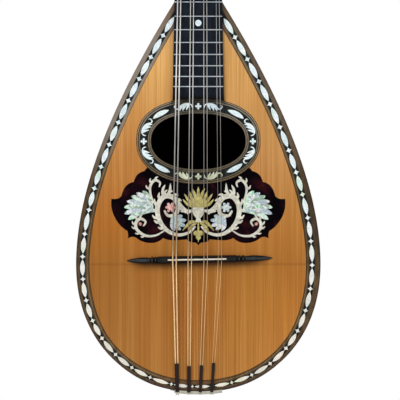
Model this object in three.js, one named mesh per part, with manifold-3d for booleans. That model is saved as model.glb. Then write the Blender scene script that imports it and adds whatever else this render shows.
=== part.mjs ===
// A bowl-back mandocello: eight steel strings in four courses over a canted soundboard.
// Millimetres. +Z runs up the neck, -Y is the front and +X is the right-hand side seen from the front.
// The origin is on the centre line where the nut meets the fingerboard, in the plane of the
// soundboard's face.
import * as THREE from "three";
import { mergeVertices } from "three/addons/utils/BufferGeometryUtils.js";
import Module from "manifold-3d";

const wasm = await Module();
wasm.setup();

const degree = Math.PI / 180;
const turn = 2 * Math.PI;
const semitonesPerOctave = 12;
const foldStation = 1;
const tailStation = 2;
const stationProbe = 1e-3;
const shapeCurveSteps = 6;

// Clearances between pieces, and how far a cutting tool runs past what it cuts
const gap = 0.3;
const overrun = 5;
const weld = 1e-3;

// Scale and setup of the strings
const scaleLength = 600;
const saddleCompensation = 5.6;
const bridgeSlant = 1.1 * degree;
const bridgeShift = -1.6;
const courses = 4;
const courseSpacingAtSaddle = 20;
const courseSpacingAtTail = 15.3;
const pairSpacingAtNut = 3.6;
const pairSpacingAtSaddle = 4.6;
const pairSpacingAtTail = 3.4;
const nutShift = 1.5;
const saddleShift = -1.3;
const tailShift = -5;
const actionAtNut = 0.2;
const actionAtOctave = 2.53;
const stringRadii = [0.94, 0.61, 0.43, 0.28];
const stringSides = 6;

// Body seen from the front
const bodyWidth = 324.6;
const foldBehindSaddle = 6.4;
const lowerBoutLength = 168.9;
const boutFullness = 2.15;
const boutPull = 106;
const shoulderPull = 119;
const shoulderFlareShare = 0.62;
const cant = 7 * degree;
const bodyJointFret = 10;

// Bowl
const bowlDepth = 182;
const heelDepth = 38;
const heelRiseShare = 0.55;
const ribCount = 13;
const ribThickness = 2.4;
const tailOpening = 9;

// Soundboard and what is let into it
const boardThickness = 3;
const inlayThickness = 1.5;
const bindingWidth = 3;
const purflingWidth = 16.4;
const outlineSteps = 10;
const soundHoleShare = 0.7483;
const soundHoleHalfWidth = 62.6;
const soundHoleHalfHeight = 36.8;
const rosetteWidth = 19.8;
const ovalSteps = 36;
const ovalFullnessAbove = 2.34;
const ovalFullnessBelow = 2.15;
const guardCurveSteps = 2;
const pickguardWidth = 230.6;
const pickguardBelowHole = 24.7;
const pickguardHeight = 113.4;

// Neck and fingerboard
const nutWidth = 53;
const widthAtJoint = 62.8;
const neckDepthAtNut = 18;
const neckDepthAtHeel = 22;
const heelLength = 66;
const neckSections = 9;
const neckSides = 12;
const curveSteps = 5;
const boardDepth = 6;
const boardPastRosette = 4.6;
const fretCount = 17;
const fretHeight = 1.1;
const fretWidth = 2.4;
const fretCrownWidth = 1;
const nutLength = 6;
const nutAboveStrings = 1.1;
const nutMargin = 2.8;

// Headstock
const headTilt = 14 * degree;
const headThickness = 16;
const veneerThickness = 1.6;
const headAbovePosts = 41;
const headShoulderLength = 26;
const headShoulderWidth = 84;
const headTopWidth = 90;
const headCrownHeight = 24;
const headRootOverlap = 2;
const neckPastNut = 7.4;

// Tuning machines: a single-start worm on each key turns the gear on the back of each string post
const postSpacing = 33;
const firstPostUpHead = 38;
const postSpread = 60;
const postRadius = 3;
const postAboveHead = 13;
const postHoleRadius = 1.1;
const postHoleAboveWinding = 2.3;
const postSides = 10;
const plateThickness = 1.2;
const plateEdge = 0.4;
const plateOverhang = 15;
const gearTeeth = 14;
const wormLead = 2.7;
const gearThickness = 2.4;
const gearAddendumShare = 0.196;
const wormAddendumShare = 0.235;
const toothTipShare = 0.222;
const toothRootShare = 0.48;
const threadCrestShare = 0.204;
const threadRootShare = 0.407;
const wormPitchRadius = 2.5;
const wormHalfLength = 4.05;
const threadStepsPerTurn = 6;
const collarLength = 2;
const collarRadius = 2.7;
const earThickness = 1.9;
const earWidth = 7;
const earAboveShaft = 3;
const shaftRadius = 1.5;
const shaftSides = 6;
const shaftBeyondEar = 0.8;
const wormAbovePlate = 0.45;
const gearScrewRadius = 2.2;
const gearScrewHeight = 1.2;
const buttonFromHead = 3;
const buttonLength = 17;
const buttonWidth = 15;
const buttonThickness = 5;
const buttonBevel = 1.4;
const buttonPoints = 10;
const shaftInButtonShare = 0.33;
const windingTurns = 2;
const windingSteps = 10;
const windingAboveHead = 7.2;
const windingGap = 0.45;

// Bridge and saddle
const bridgeBlockEnd = 12;
const bridgeLeftArm = 42;
const bridgeRightArm = 49;
const bridgeWidth = 10;
const saddleAboveBridge = 1.5;
const bridgeTopWidth = 5.4;
const bridgeSkirtShare = 0.333;
const saddleEnd = 6.7;
const saddleThickness = 2.4;
const saddleSlotDepth = 4;

// Tail fittings
const restMargin = 2;
const restSteps = 2;
const restThickness = 3;
const restAboveBoard = 1;
const restDepth = 4.2;
const tailBendRadius = 1.3;
const bendSteps = 3;
const bendStartShare = 0.15;
const claspHalfWidth = 104;
const claspDepth = 26;
const claspScallop = 9;
const claspScallops = 3;
const claspThickness = 1.2;
const claspSteps = 24;
const tailpieceMargin = 8.3;
const tailpieceTop = 2.4;
const tailpieceDepth = 30;
const tailpieceThickness = 1.2;
const tailpieceSteps = 8;
const tailDepthSteps = 4;
const hookBelowTop = 18.6;
const hookRadius = 1.3;
const hookHeight = 2.8;
const hookLip = 2.1;
const hookLipThickness = 0.9;
const endButtonRadius = 8;
const endButtonFace = 6.5;
const endButtonHeight = 8;
const endButtonCap = 4.2;
const endButtonRim = 1.5;
const endButtonBelowPlate = 1.6;
const pegRadius = 2.6;
const pegLength = 18;
const roundSides = 16;

// Inside the body
const liningWidth = 5;
const liningDepth = 6;
const liningInset = 3.6;
const blockInset = 4;
const neckBlockLength = 52;
const neckBlockSteps = 4;
const tailBlockHalfWidth = 42;
const tailBlockDepth = 46;
const tailBlockThickness = 22;
const braceWidth = 8;
const braceDepth = 13;
const braceEndDepth = 4;
const braceEndInset = 14;
const braceScoop = 34;
const braceBelowHole = [-66, 67, 129];

// Sizes and places that follow from the values above
const fretDistance = (fret) => scaleLength * (1 - 2 ** (-fret / semitonesPerOctave));
const spaces = courses - 1;
const courseSpacingAtNut = (nutWidth - 2 * nutMargin - pairSpacingAtNut) / spaces;
const tailSpan = courseSpacingAtTail * spaces + pairSpacingAtTail;
const heightAtNut = boardDepth + fretHeight + actionAtNut;
const stringRise = (actionAtOctave - actionAtNut) / fretDistance(semitonesPerOctave);
const heightAtSaddle = heightAtNut + stringRise * (scaleLength + saddleCompensation);
const saddleLength = courseSpacingAtSaddle * spaces + pairSpacingAtSaddle + 2 * saddleEnd;
const bridgeBlockLength = saddleLength + 2 * bridgeBlockEnd;
const bridgeHeight = heightAtSaddle - gap - saddleAboveBridge;
const soundHoleBelowNut = soundHoleShare * scaleLength;
const fingerboardLength = soundHoleBelowNut - soundHoleHalfHeight - rosetteWidth + boardPastRosette;
const pickguardTopBelowNut = soundHoleBelowNut + pickguardBelowHole;
const headLength = firstPostUpHead + spaces * postSpacing + headAbovePosts;
const hookDepth = tailpieceTop + hookBelowTop;
const endButtonDepth = tailpieceTop + tailpieceDepth + endButtonRadius + endButtonBelowPlate;
const jointZ = -fretDistance(bodyJointFret);
const saddleZ = -(scaleLength + saddleCompensation);
const foldZ = saddleZ - foldBehindSaddle;
const tailZ = foldZ - lowerBoutLength;
const rimBack = boardThickness + gap;
const leanAt = (z) => Math.max(0, foldZ - z) * Math.tan(cant);
const tailRim = leanAt(tailZ);
const gearPitchRadius = (gearTeeth * wormLead) / turn;
const wormOffset = gearPitchRadius + wormPitchRadius;
const wormTipRadius = wormPitchRadius + wormAddendumShare * wormLead;
const gearTipRadius = gearPitchRadius + gearAddendumShare * wormLead;
const gearRootRadius = wormOffset - wormTipRadius - gap;
const wormRootRadius = wormOffset - gearTipRadius - gap;
const collarEnd = wormHalfLength + wormLead / 2 + collarLength;
const plateHalfWidth = collarEnd + gap + earThickness + plateEdge;
const buttonFromPost = (headTopWidth - postSpread) / 2 + buttonFromHead;

const headFrame = new THREE.Matrix4()
  .makeRotationX(-headTilt)
  .setPosition(0, 0, nutLength);

// Solids

function solidOf(geometry) {
  const bare = geometry.index ? geometry.toNonIndexed() : geometry.clone();
  bare.deleteAttribute("normal");
  bare.deleteAttribute("uv");
  const merged = mergeVertices(bare, weld);
  return new wasm.Manifold(
    new wasm.Mesh({
      numProp: 3,
      vertProperties: merged.attributes.position.array,
      triVerts: new Uint32Array(merged.index.array),
    }),
  );
}

function surfaceOf(solid) {
  const mesh = solid.getMesh();
  const geometry = new THREE.BufferGeometry();
  geometry.setAttribute("position", new THREE.BufferAttribute(mesh.vertProperties, mesh.numProp));
  geometry.setIndex(new THREE.BufferAttribute(mesh.triVerts, 1));
  return geometry;
}

const join = (first, ...others) =>
  surfaceOf(others.reduce((whole, piece) => whole.add(solidOf(piece)), solidOf(first)));

const cut = (first, ...tools) =>
  surfaceOf(tools.reduce((whole, tool) => whole.subtract(solidOf(tool)), solidOf(first)));

const block = (x0, x1, y0, y1, z0, z1) =>
  new THREE.BoxGeometry(x1 - x0, y1 - y0, z1 - z0).translate(
    (x0 + x1) / 2,
    (y0 + y1) / 2,
    (z0 + z1) / 2,
  );

// A round bar along Y, from its front end to its back end
const barAlongY = (radius, front, back, sides) =>
  new THREE.CylinderGeometry(radius, radius, back - front, sides).translate(0, (front + back) / 2, 0);

// A round bar along X
const barAlongX = (radius, from, to, sides) =>
  new THREE.CylinderGeometry(radius, radius, to - from, sides)
    .rotateZ(Math.PI / 2)
    .translate((from + to) / 2, 0, 0);

// A round bar along Z
const barAlongZ = (radius, from, to, sides) =>
  new THREE.CylinderGeometry(radius, radius, to - from, sides)
    .rotateX(Math.PI / 2)
    .translate(0, 0, (from + to) / 2);

// The radius at which a many-sided bore clears a round bar all the way round
const clearing = (radius, sides) => (radius + gap) / Math.cos(Math.PI / sides);

// A plate whose outline is drawn in X and Z, between a front and a back depth
const plate = (shape, front, back) =>
  new THREE.ExtrudeGeometry(shape, {
    depth: back - front,
    bevelEnabled: false,
    curveSegments: shapeCurveSteps,
  })
    .rotateX(Math.PI / 2)
    .translate(0, back, 0);

function closedSurface(points, faces) {
  const volume = faces.reduce((sum, [a, b, c]) => {
    return sum + points[a].dot(points[b].clone().cross(points[c]));
  }, 0);
  const order = volume < 0 ? faces.map(([a, b, c]) => [a, c, b]) : faces;
  const geometry = new THREE.BufferGeometry().setFromPoints(points);
  return geometry.setIndex(order.flat());
}

// Triangles that close one end ring, which need not be convex
function endFaces(ring) {
  const following = (i) => ring[(i + 1) % ring.length];
  const normal = ring
    .reduce((sum, point, i) => sum.add(point.clone().cross(following(i))), new THREE.Vector3())
    .normalize();
  const across = new THREE.Vector3(normal.z, normal.x, normal.y).cross(normal).normalize();
  const up = normal.clone().cross(across);
  const flat = ring.map((point) => new THREE.Vector2(point.dot(across), point.dot(up)));
  return THREE.ShapeUtils.triangulateShape(flat, []);
}

// A closed skin over rings of equally many points
function loft(rings) {
  const count = rings[0].length;
  const lastRing = (rings.length - 1) * count;
  const points = rings.flat();
  const faces = endFaces(rings[0]).map(([a, b, c]) => [a, c, b]);
  for (const [a, b, c] of endFaces(rings.at(-1))) {
    faces.push([lastRing + a, lastRing + b, lastRing + c]);
  }
  for (let start = 0; start < lastRing; start += count) {
    for (let j = 0; j < count; j++) {
      const a = start + j;
      const b = start + ((j + 1) % count);
      faces.push([a, b, b + count], [a, b + count, a + count]);
    }
  }
  return closedSurface(points, faces);
}

// A tube of flat sides along a line of points, carried from step to step without twist
function tube(path, radius, sides) {
  let across = null;
  const rings = path.map((point, i) => {
    const before = path[Math.max(i - 1, 0)];
    const after = path[Math.min(i + 1, path.length - 1)];
    const along = after.clone().sub(before).normalize();
    across = across ?? new THREE.Vector3(1, 0, 0);
    across = across.clone().addScaledVector(along, -across.dot(along)).normalize();
    const up = along.clone().cross(across);
    return Array.from({ length: sides }, (_, k) => {
      const angle = (k * turn) / sides;
      return point
        .clone()
        .addScaledVector(across, radius * Math.cos(angle))
        .addScaledVector(up, radius * Math.sin(angle));
    });
  });
  return loft(rings);
}

// Body shape

function cubic(a, b, c, d, t) {
  const u = 1 - t;
  return u * u * u * a + 3 * u * u * t * b + 3 * u * t * t * c + t * t * t * d;
}

// The bowl at a station: 0 at the neck, 1 at the fold, where it is widest, and 2 at the tail.
function bowlStation(station) {
  const halfWidth = bodyWidth / 2;
  const halfNeck = widthAtJoint / 2;
  if (station > foldStation) {
    const angle = ((station - foldStation) * Math.PI) / 2;
    const power = 2 / boutFullness;
    const inward = Math.max(0, Math.cos(angle)) ** power;
    const z = foldZ - lowerBoutLength * Math.sin(angle) ** power;
    return { width: halfWidth * inward, z, depth: bowlDepth * inward };
  }
  const t = foldStation - station;
  return {
    width: cubic(halfWidth, halfWidth, halfNeck + shoulderFlareShare * shoulderPull, halfNeck, t),
    z: cubic(foldZ, foldZ + boutPull, jointZ - shoulderPull, jointZ, t),
    depth: cubic(
      bowlDepth,
      bowlDepth - boutPull * Math.tan(cant),
      heelDepth + heelRiseShare * shoulderPull,
      heelDepth,
      t,
    ),
  };
}

function bowlSurface(station, angle) {
  const { width, z, depth } = bowlStation(station);
  return new THREE.Vector3(
    width * Math.cos(angle),
    leanAt(z) + rimBack + depth * Math.sin(angle),
    z,
  );
}

// A point on the bowl, moved inward along the surface's normal
function bowlPoint(station, angle, inward) {
  const s0 = Math.max(0, station - stationProbe);
  const along = bowlSurface(station + stationProbe, angle).sub(bowlSurface(s0, angle));
  const round = bowlSurface(station, angle + stationProbe).sub(
    bowlSurface(station, angle - stationProbe),
  );
  const normal = round.cross(along).normalize();
  return bowlSurface(station, angle).addScaledVector(normal, inward);
}

// A point of the outline seen from the front, moved inward in that plane, at its own lean
function edgePoint(station, side, inset, depth) {
  const here = bowlStation(station);
  const before = bowlStation(Math.max(0, station - stationProbe));
  const after = bowlStation(Math.min(tailStation, station + stationProbe));
  const dx = after.width - before.width;
  const dz = after.z - before.z;
  const length = Math.hypot(dx, dz);
  const x = Math.max(0, here.width + (inset * dz) / length);
  const z = here.z - (inset * dx) / length;
  return new THREE.Vector3(side * x, leanAt(z) + depth, z);
}

// Stations down the right side, round the tail and up the left side
const outlineStations = [
  ...Array.from({ length: 2 * outlineSteps }, (_, i) => ({ station: i / outlineSteps, side: 1 })),
  ...Array.from({ length: 2 * outlineSteps + 1 }, (_, i) => ({
    station: tailStation - i / outlineSteps,
    side: -1,
  })),
];

const outlineShape = (inset) =>
  new THREE.Shape(
    outlineStations.map(({ station, side }) => {
      const point = edgePoint(station, side, inset, 0);
      return new THREE.Vector2(point.x, point.z);
    }),
  );

// A strip let in round the edge, from one side of the neck to the other
const edgeStrip = (outerInset, innerInset, front, back, stations = outlineStations) =>
  loft(
    stations.map(({ station, side }) => [
      edgePoint(station, side, outerInset, front),
      edgePoint(station, side, innerInset, front),
      edgePoint(station, side, innerInset, back),
      edgePoint(station, side, outerInset, back),
    ]),
  );

// Bends a flat plate back along the fold, by leaning all of it that lies below
function bendAtFold(geometry) {
  const whole = solidOf(geometry);
  const reach = bodyWidth + scaleLength;
  const below = solidOf(block(-reach, reach, -reach, reach, foldZ - reach, foldZ));
  const upper = whole.subtract(below);
  const lower = surfaceOf(whole.intersect(below));
  const position = lower.getAttribute("position");
  for (let i = 0; i < position.count; i++) {
    position.setY(i, position.getY(i) + leanAt(position.getZ(i)));
  }
  return surfaceOf(upper.add(solidOf(lower)));
}

// An ellipse has a fullness of two: this one is squarer, and more so in its upper half
function oval(halfWidth, halfHeight, z) {
  return Array.from({ length: ovalSteps }, (_, i) => {
    const across = Math.cos((turn * i) / ovalSteps);
    const up = Math.sin((turn * i) / ovalSteps);
    const power = 2 / (up > 0 ? ovalFullnessAbove : ovalFullnessBelow);
    return new THREE.Vector2(
      halfWidth * Math.sign(across) * Math.abs(across) ** power,
      z + halfHeight * Math.sign(up) * Math.abs(up) ** power,
    );
  });
}

// The bowl's skin at its tail, at a depth behind the rim
function tailPoint(x, depth) {
  const reach = Math.hypot(x / (bodyWidth / 2), depth / bowlDepth);
  const z = foldZ - lowerBoutLength * (1 - reach ** boutFullness) ** (1 / boutFullness);
  return new THREE.Vector3(x, leanAt(z) + rimBack + depth, z);
}

// A closed body over a patch of the bowl's tail, between two offsets along Z from the bowl's skin
function tailPatch(xs, depthsAt, lowerOffset, upperOffset) {
  const rows = xs.map((x) =>
    depthsAt(x).map((depth) => {
      const point = tailPoint(x, depth);
      const lower = point.clone().setZ(point.z + lowerOffset);
      return [lower, point.clone().setZ(point.z + upperOffset)];
    }),
  );
  return loft(
    rows.map((row) => [...row.map(([lower]) => lower), ...row.map(([, upper]) => upper).reverse()]),
  );
}

const spread = (from, to, steps) =>
  Array.from({ length: steps + 1 }, (_, i) => from + ((to - from) * i) / steps);

// Bowl, soundboard and edge

const ribAngle = (index) => (index * Math.PI) / ribCount;
const stationAtWidth = (halfWidth) =>
  foldStation + Math.acos((halfWidth / (bodyWidth / 2)) ** (boutFullness / 2)) / (Math.PI / 2);
const lastStation = stationAtWidth(tailOpening);
const ribStations = [
  ...spread(0, tailStation, tailStation * outlineSteps).filter((s) => s < lastStation),
  lastStation,
];

function rib(index) {
  return loft(
    ribStations.map((station) => {
      const from = ribAngle(index);
      const to = ribAngle(index + 1);
      const outer = [bowlPoint(station, from, 0), bowlPoint(station, to, 0)];
      const inner = [bowlPoint(station, to, ribThickness), bowlPoint(station, from, ribThickness)];
      const seam = outer[1].clone().sub(outer[0]).setLength(gap / 2);
      outer[0].add(seam);
      outer[1].sub(seam);
      inner[0].sub(seam);
      inner[1].add(seam);
      return [...outer, ...inner];
    }),
  );
}

function rosetteOutline(extra) {
  return oval(
    soundHoleHalfWidth + rosetteWidth + extra,
    soundHoleHalfHeight + rosetteWidth + extra,
    -soundHoleBelowNut,
  );
}

// Right half of the pickguard: each row is a curve's control point and its end,
// as shares of the half width from the centre line and of the height from the top.
const pickguardStartShares = [0.53, 0.05];
const pickguardCurveShares = [
  [0.6, 0.09, 0.621, 0.13],
  [0.72, 0.15, 0.742, 0.257],
  [0.85, 0.27, 0.886, 0.421],
  [0.921, 0.468, 1, 0.454],
  [1.018, 0.608, 0.921, 0.737],
  [0.863, 0.807, 0.817, 0.83],
  [0.8, 0.877, 0.811, 0.918],
  [0.76, 0.883, 0.713, 0.912],
  [0.644, 0.971, 0.544, 0.971],
  [0.46, 0.971, 0.405, 0.914],
  [0.34, 0.944, 0.265, 0.94],
  [0.19, 0.936, 0.135, 0.928],
  [0.092, 0.971, 0.046, 0.965],
  [0.017, 0.971, 0, 1],
];

function pickguardOutline() {
  const half = pickguardWidth / 2;
  const place = (x, z) => [x * half, -pickguardTopBelowNut - z * pickguardHeight];
  const edge = new THREE.Path();
  edge.moveTo(...place(...pickguardStartShares));
  for (const [cx, cz, x, z] of pickguardCurveShares) {
    edge.quadraticCurveTo(...place(cx, cz), ...place(x, z));
  }
  const right = edge.getPoints(guardCurveSteps);
  const left = right.slice(0, -1).reverse();
  return [...right, ...left.map((p) => new THREE.Vector2(-p.x, p.y))];
}

// Grows a closed outline by moving each corner along the mean normal of its two sides
function grown(points, by) {
  const turned = THREE.ShapeUtils.isClockWise(points) ? -1 : 1;
  return points.map((point, i) => {
    const before = points.at(i - 1);
    const after = points[(i + 1) % points.length];
    const away = after.clone().sub(before).normalize().multiplyScalar(by * turned);
    return new THREE.Vector2(point.x + away.y, point.y - away.x);
  });
}

function soundboard() {
  const pocketFloor = inlayThickness + gap;
  const under = plate(outlineShape(bindingWidth + gap), pocketFloor, boardThickness);
  const face = plate(outlineShape(bindingWidth + purflingWidth + 2 * gap), 0, boardThickness);
  const hole = plate(
    new THREE.Shape(oval(soundHoleHalfWidth, soundHoleHalfHeight, -soundHoleBelowNut)),
    -overrun,
    boardThickness + overrun,
  );
  const rosettePocket = plate(new THREE.Shape(rosetteOutline(gap)), -overrun, pocketFloor);
  const guardPocket = plate(new THREE.Shape(grown(pickguardOutline(), gap)), -overrun, pocketFloor);
  return bendAtFold(cut(join(under, face), hole, rosettePocket, guardPocket));
}

function rosette() {
  const ring = new THREE.Shape(rosetteOutline(0));
  ring.holes.push(
    new THREE.Path(oval(soundHoleHalfWidth, soundHoleHalfHeight, -soundHoleBelowNut)),
  );
  return plate(ring, 0, inlayThickness);
}

function pickguard() {
  const sheet = plate(new THREE.Shape(pickguardOutline()), 0, inlayThickness);
  return cut(sheet, plate(new THREE.Shape(rosetteOutline(gap)), -overrun, overrun));
}

const binding = () => edgeStrip(0, bindingWidth, 0, boardThickness);

const purfling = () =>
  edgeStrip(bindingWidth + gap, bindingWidth + gap + purflingWidth, 0, inlayThickness);

// Inside the body

function neckBlock() {
  const depthEnd = jointZ - gap - neckBlockLength;
  const stations = spread(0, foldStation, outlineSteps * outlineSteps).filter(
    (s) => bowlStation(s).z < jointZ - gap && bowlStation(s).z > depthEnd,
  );
  const stride = Math.max(1, Math.floor(stations.length / neckBlockSteps));
  const rings = stations
    .filter((_, i) => i % stride === 0)
    .map((station) => {
      const { width, z, depth } = bowlStation(station);
      return halfRound(width - blockInset, depth - blockInset, z, rimBack, neckSides);
    });
  return loft(rings);
}

// Half a superellipse with its flat side to the front
function halfRound(halfWidth, depth, z, front, sides) {
  return spread(0, Math.PI, sides).map(
    (angle) =>
      new THREE.Vector3(halfWidth * Math.cos(angle), front + depth * Math.sin(angle), z),
  );
}

function tailBlock() {
  const first = liningDepth + gap;
  return tailPatch(
    spread(-tailBlockHalfWidth, tailBlockHalfWidth, tailpieceSteps),
    () => spread(first, first + tailBlockDepth, tailDepthSteps),
    blockInset,
    blockInset + tailBlockThickness,
  );
}

const liningStations = outlineStations.filter(
  ({ station }) => bowlStation(station).z < jointZ - neckBlockLength - 2 * gap,
);

const lining = () =>
  edgeStrip(liningInset, liningInset + liningWidth, rimBack, rimBack + liningDepth, liningStations);

// Half the body's width at a height above the fold
function halfWidthAt(z) {
  const stations = spread(0, foldStation, outlineSteps * outlineSteps);
  const below = stations.find((s) => bowlStation(s).z <= z);
  return bowlStation(below ?? foldStation).width;
}

// A bar across the back of the soundboard, scooped thin at its ends
function brace(belowNut) {
  const reach = halfWidthAt(-belowNut) - braceEndInset;
  const back = rimBack + braceDepth;
  const profile = [
    [-reach, rimBack],
    [reach, rimBack],
    [reach, rimBack + braceEndDepth],
    [reach - braceScoop, back],
    [braceScoop - reach, back],
    [-reach, rimBack + braceEndDepth],
  ];
  const ring = (z) => profile.map(([x, y]) => new THREE.Vector3(x, y, z));
  return loft([ring(-belowNut - braceWidth / 2), ring(-belowNut + braceWidth / 2)]);
}

// Neck, fingerboard and head

const widthAt = (z) => nutWidth + ((widthAtJoint - nutWidth) * z) / jointZ;

function neckShaft() {
  const sections = [
    ...spread(jointZ + gap, jointZ + heelLength, neckSections),
    0,
    neckPastNut,
  ];
  return loft(
    sections.map((z) => {
      const share = Math.min(1, Math.max(0, z / jointZ));
      const heel = Math.max(0, 1 - (z - jointZ) / heelLength);
      const shaft = neckDepthAtNut + (neckDepthAtHeel - neckDepthAtNut) * share;
      const depth = shaft + (heelDepth + rimBack - shaft) * heel * heel;
      return halfRound(widthAt(Math.min(0, z)) / 2, depth, z, 0, neckSides);
    }),
  );
}

// The head's crown on the right: each curve's control point and end, as shares of the half width
// and of the crown's height.
const crownCurveShares = [
  [
    [1, 0.33],
    [0.67, 0.33],
  ],
  [
    [0.33, 0.33],
    [0.33, 0.6],
  ],
  [
    [0.33, 1],
    [0, 1],
  ],
];

// Outline of the head in its own plane, up from the nut
function headShape(bottom) {
  const crown = headLength - headCrownHeight;
  const root = nutWidth / 2;
  const shoulder = headShoulderWidth / 2;
  const top = headTopWidth / 2;
  const edge = new THREE.Path();
  edge.moveTo(root, bottom);
  edge.lineTo(root, headRootOverlap);
  edge.bezierCurveTo(
    root,
    headShoulderLength / 2,
    shoulder,
    headShoulderLength / 2,
    shoulder,
    headShoulderLength,
  );
  edge.lineTo(top, crown);
  const at = ([x, z]) => [x * top, crown + z * headCrownHeight];
  for (const [pull, end] of crownCurveShares) {
    edge.quadraticCurveTo(...at(pull), ...at(end));
  }
  const right = edge.getPoints(curveSteps);
  const left = right.slice(0, -1).reverse();
  return new THREE.Shape([...right, ...left.map((p) => new THREE.Vector2(-p.x, p.y))]);
}

const postPlaces = [-1, 1].flatMap((side) =>
  spread(0, courses - 1, courses - 1).map((row) => ({
    side,
    row,
    x: (side * postSpread) / 2,
    z: firstPostUpHead + row * postSpacing,
  })),
);

const postBores = (radius) =>
  postPlaces.map(({ x, z }) =>
    barAlongY(radius, -overrun, headThickness + overrun, postSides).translate(x, 0, z),
  );

function neck() {
  const head = plate(headShape(-headRootOverlap), veneerThickness + gap, headThickness);
  const drilled = cut(head, ...postBores(clearing(postRadius, postSides))).applyMatrix4(headFrame);
  return join(neckShaft(), drilled);
}

function headVeneer() {
  const sheet = plate(headShape(gap), 0, veneerThickness);
  const foot = block(-headTopWidth, headTopWidth, -overrun, overrun, -overrun, headRootOverlap);
  return cut(sheet, foot, ...postBores(clearing(postRadius, postSides)));
}

// The fingerboard with its fret wires pressed in
function fingerboard() {
  const end = -fingerboardLength;
  const slab = (front, back, ends, inset) =>
    loft(
      ends.map((z) => {
        const half = widthAt(z) / 2 - inset;
        return [
          new THREE.Vector3(-half, front, z),
          new THREE.Vector3(half, front, z),
          new THREE.Vector3(half, back, z),
          new THREE.Vector3(-half, back, z),
        ];
      }),
    );
  const frets = spread(1, fretCount, fretCount - 1).map((fret) => {
    const z = -fretDistance(fret);
    const half = widthAt(z) / 2 - gap;
    const profile = [
      [-fretWidth / 2, -boardDepth + fretHeight],
      [-fretWidth / 2, -boardDepth],
      [-fretCrownWidth / 2, -boardDepth - fretHeight],
      [fretCrownWidth / 2, -boardDepth - fretHeight],
      [fretWidth / 2, -boardDepth],
      [fretWidth / 2, -boardDepth + fretHeight],
    ];
    const ring = (x) => profile.map(([dz, y]) => new THREE.Vector3(x, y, z + dz));
    return loft([ring(-half), ring(half)]);
  });
  const ring = plate(new THREE.Shape(rosetteOutline(gap)), -boardDepth - overrun, overrun);
  return join(cut(slab(-boardDepth, 0, [end, -gap], 0), ring), ...frets);
}

// Strings: each leaves its hook, bends over the rest, crosses saddle and nut, and winds on its post.

const stringPlan = spread(0, 2 * courses - 1, 2 * courses - 1).map((index) => {
  const course = Math.floor(index / 2);
  const pair = (index % 2) - 1 / 2;
  const step = course - (courses - 1) / 2;
  const right = index >= courses;
  const radius = stringRadii[course];
  const xAtSaddle = saddleShift + step * courseSpacingAtSaddle + pair * pairSpacingAtSaddle;
  return {
    index,
    radius,
    nutX: nutShift + step * courseSpacingAtNut + pair * pairSpacingAtNut,
    saddleX: xAtSaddle,
    saddleZ: saddleZ + xAtSaddle * Math.tan(bridgeSlant),
    tailX: tailShift + step * courseSpacingAtTail + pair * pairSpacingAtTail,
    post: postPlaces[right ? courses + (2 * courses - 1 - index) : index],
  };
});

function stringPath({ radius, nutX, saddleX, saddleZ: z, tailX, post }) {
  const over = tailRim - restAboveBoard - gap - radius;
  const beyond = tailZ - restThickness - 2 * gap - radius;
  const bend = spread(bendStartShare, 1, bendSteps).map((share) => {
    const angle = (share * Math.PI) / 2;
    return new THREE.Vector3(
      tailX,
      over + tailBendRadius * (1 - Math.cos(angle)),
      beyond + tailBendRadius * (1 - Math.sin(angle)),
    );
  });
  const hook = new THREE.Vector3(tailX, tailRim + rimBack + hookDepth - hookRadius - gap, beyond);
  const saddle = new THREE.Vector3(saddleX, -heightAtSaddle - radius, z);
  const nutFront = new THREE.Vector3(nutX, -heightAtNut - radius, 0);
  const nutBack = nutFront.clone().setZ(nutLength);
  const windingRadius = postRadius + gap + radius;
  const climb = 2 * radius + windingGap;
  const winding = spread(0, windingTurns, windingTurns * windingSteps).map((turns) => {
    const angle = (post.side > 0 ? Math.PI : 0) - post.side * turns * turn;
    return new THREE.Vector3(
      post.x + windingRadius * Math.cos(angle),
      turns * climb - windingAboveHead,
      post.z + windingRadius * Math.sin(angle),
    ).applyMatrix4(headFrame);
  });
  return [hook, ...bend.reverse(), saddle, nutFront, nutBack, ...winding];
}

const instrumentString = (plan) => tube(stringPath(plan), plan.radius, stringSides);

// Notches for the strings, cut across a nut or a saddle
const notches = (xOf, height, zOf, length) =>
  stringPlan.map((plan) => {
    const half = plan.radius + gap;
    const z = zOf(plan);
    const x = xOf(plan);
    const top = -height - 2 * plan.radius - overrun;
    return block(x - half, x + half, top, -height + gap, z - length, z + length);
  });

function nut() {
  const top = -heightAtNut - nutAboveStrings;
  const body = block(-nutWidth / 2, nutWidth / 2, top, 0, 0, nutLength - gap);
  return cut(body, ...notches((p) => p.nutX, heightAtNut, () => 0, nutLength * 2));
}

// Bridge: a straight block with turned rings and a pointed leaf at each end.
// Each row gives the place along the arm, the width and the height, as shares.
const bridgeArmShares = [
  [0, 1, 1],
  [0.03, 0.76, 0.8],
  [0.12, 0.8, 0.78],
  [0.16, 0.92, 0.84],
  [0.22, 0.92, 0.82],
  [0.255, 0.76, 0.7],
  [0.29, 0.84, 0.72],
  [0.33, 0.84, 0.7],
  [0.37, 0.62, 0.56],
  [0.46, 0.74, 0.6],
  [0.6, 0.76, 0.54],
  [0.72, 0.62, 0.42],
  [0.88, 0.44, 0.28],
  [1, 0.08, 0.12],
];

function bridgeSection(x, widthShare, heightShare) {
  const half = (bridgeWidth * widthShare) / 2;
  const topHalf = (bridgeTopWidth * widthShare) / 2;
  const top = -bridgeHeight * heightShare;
  return [
    [-half, 0],
    [-half, top * bridgeSkirtShare],
    [-topHalf, top],
    [topHalf, top],
    [half, top * bridgeSkirtShare],
    [half, 0],
  ].map(([z, y]) => new THREE.Vector3(x, y, z));
}

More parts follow.
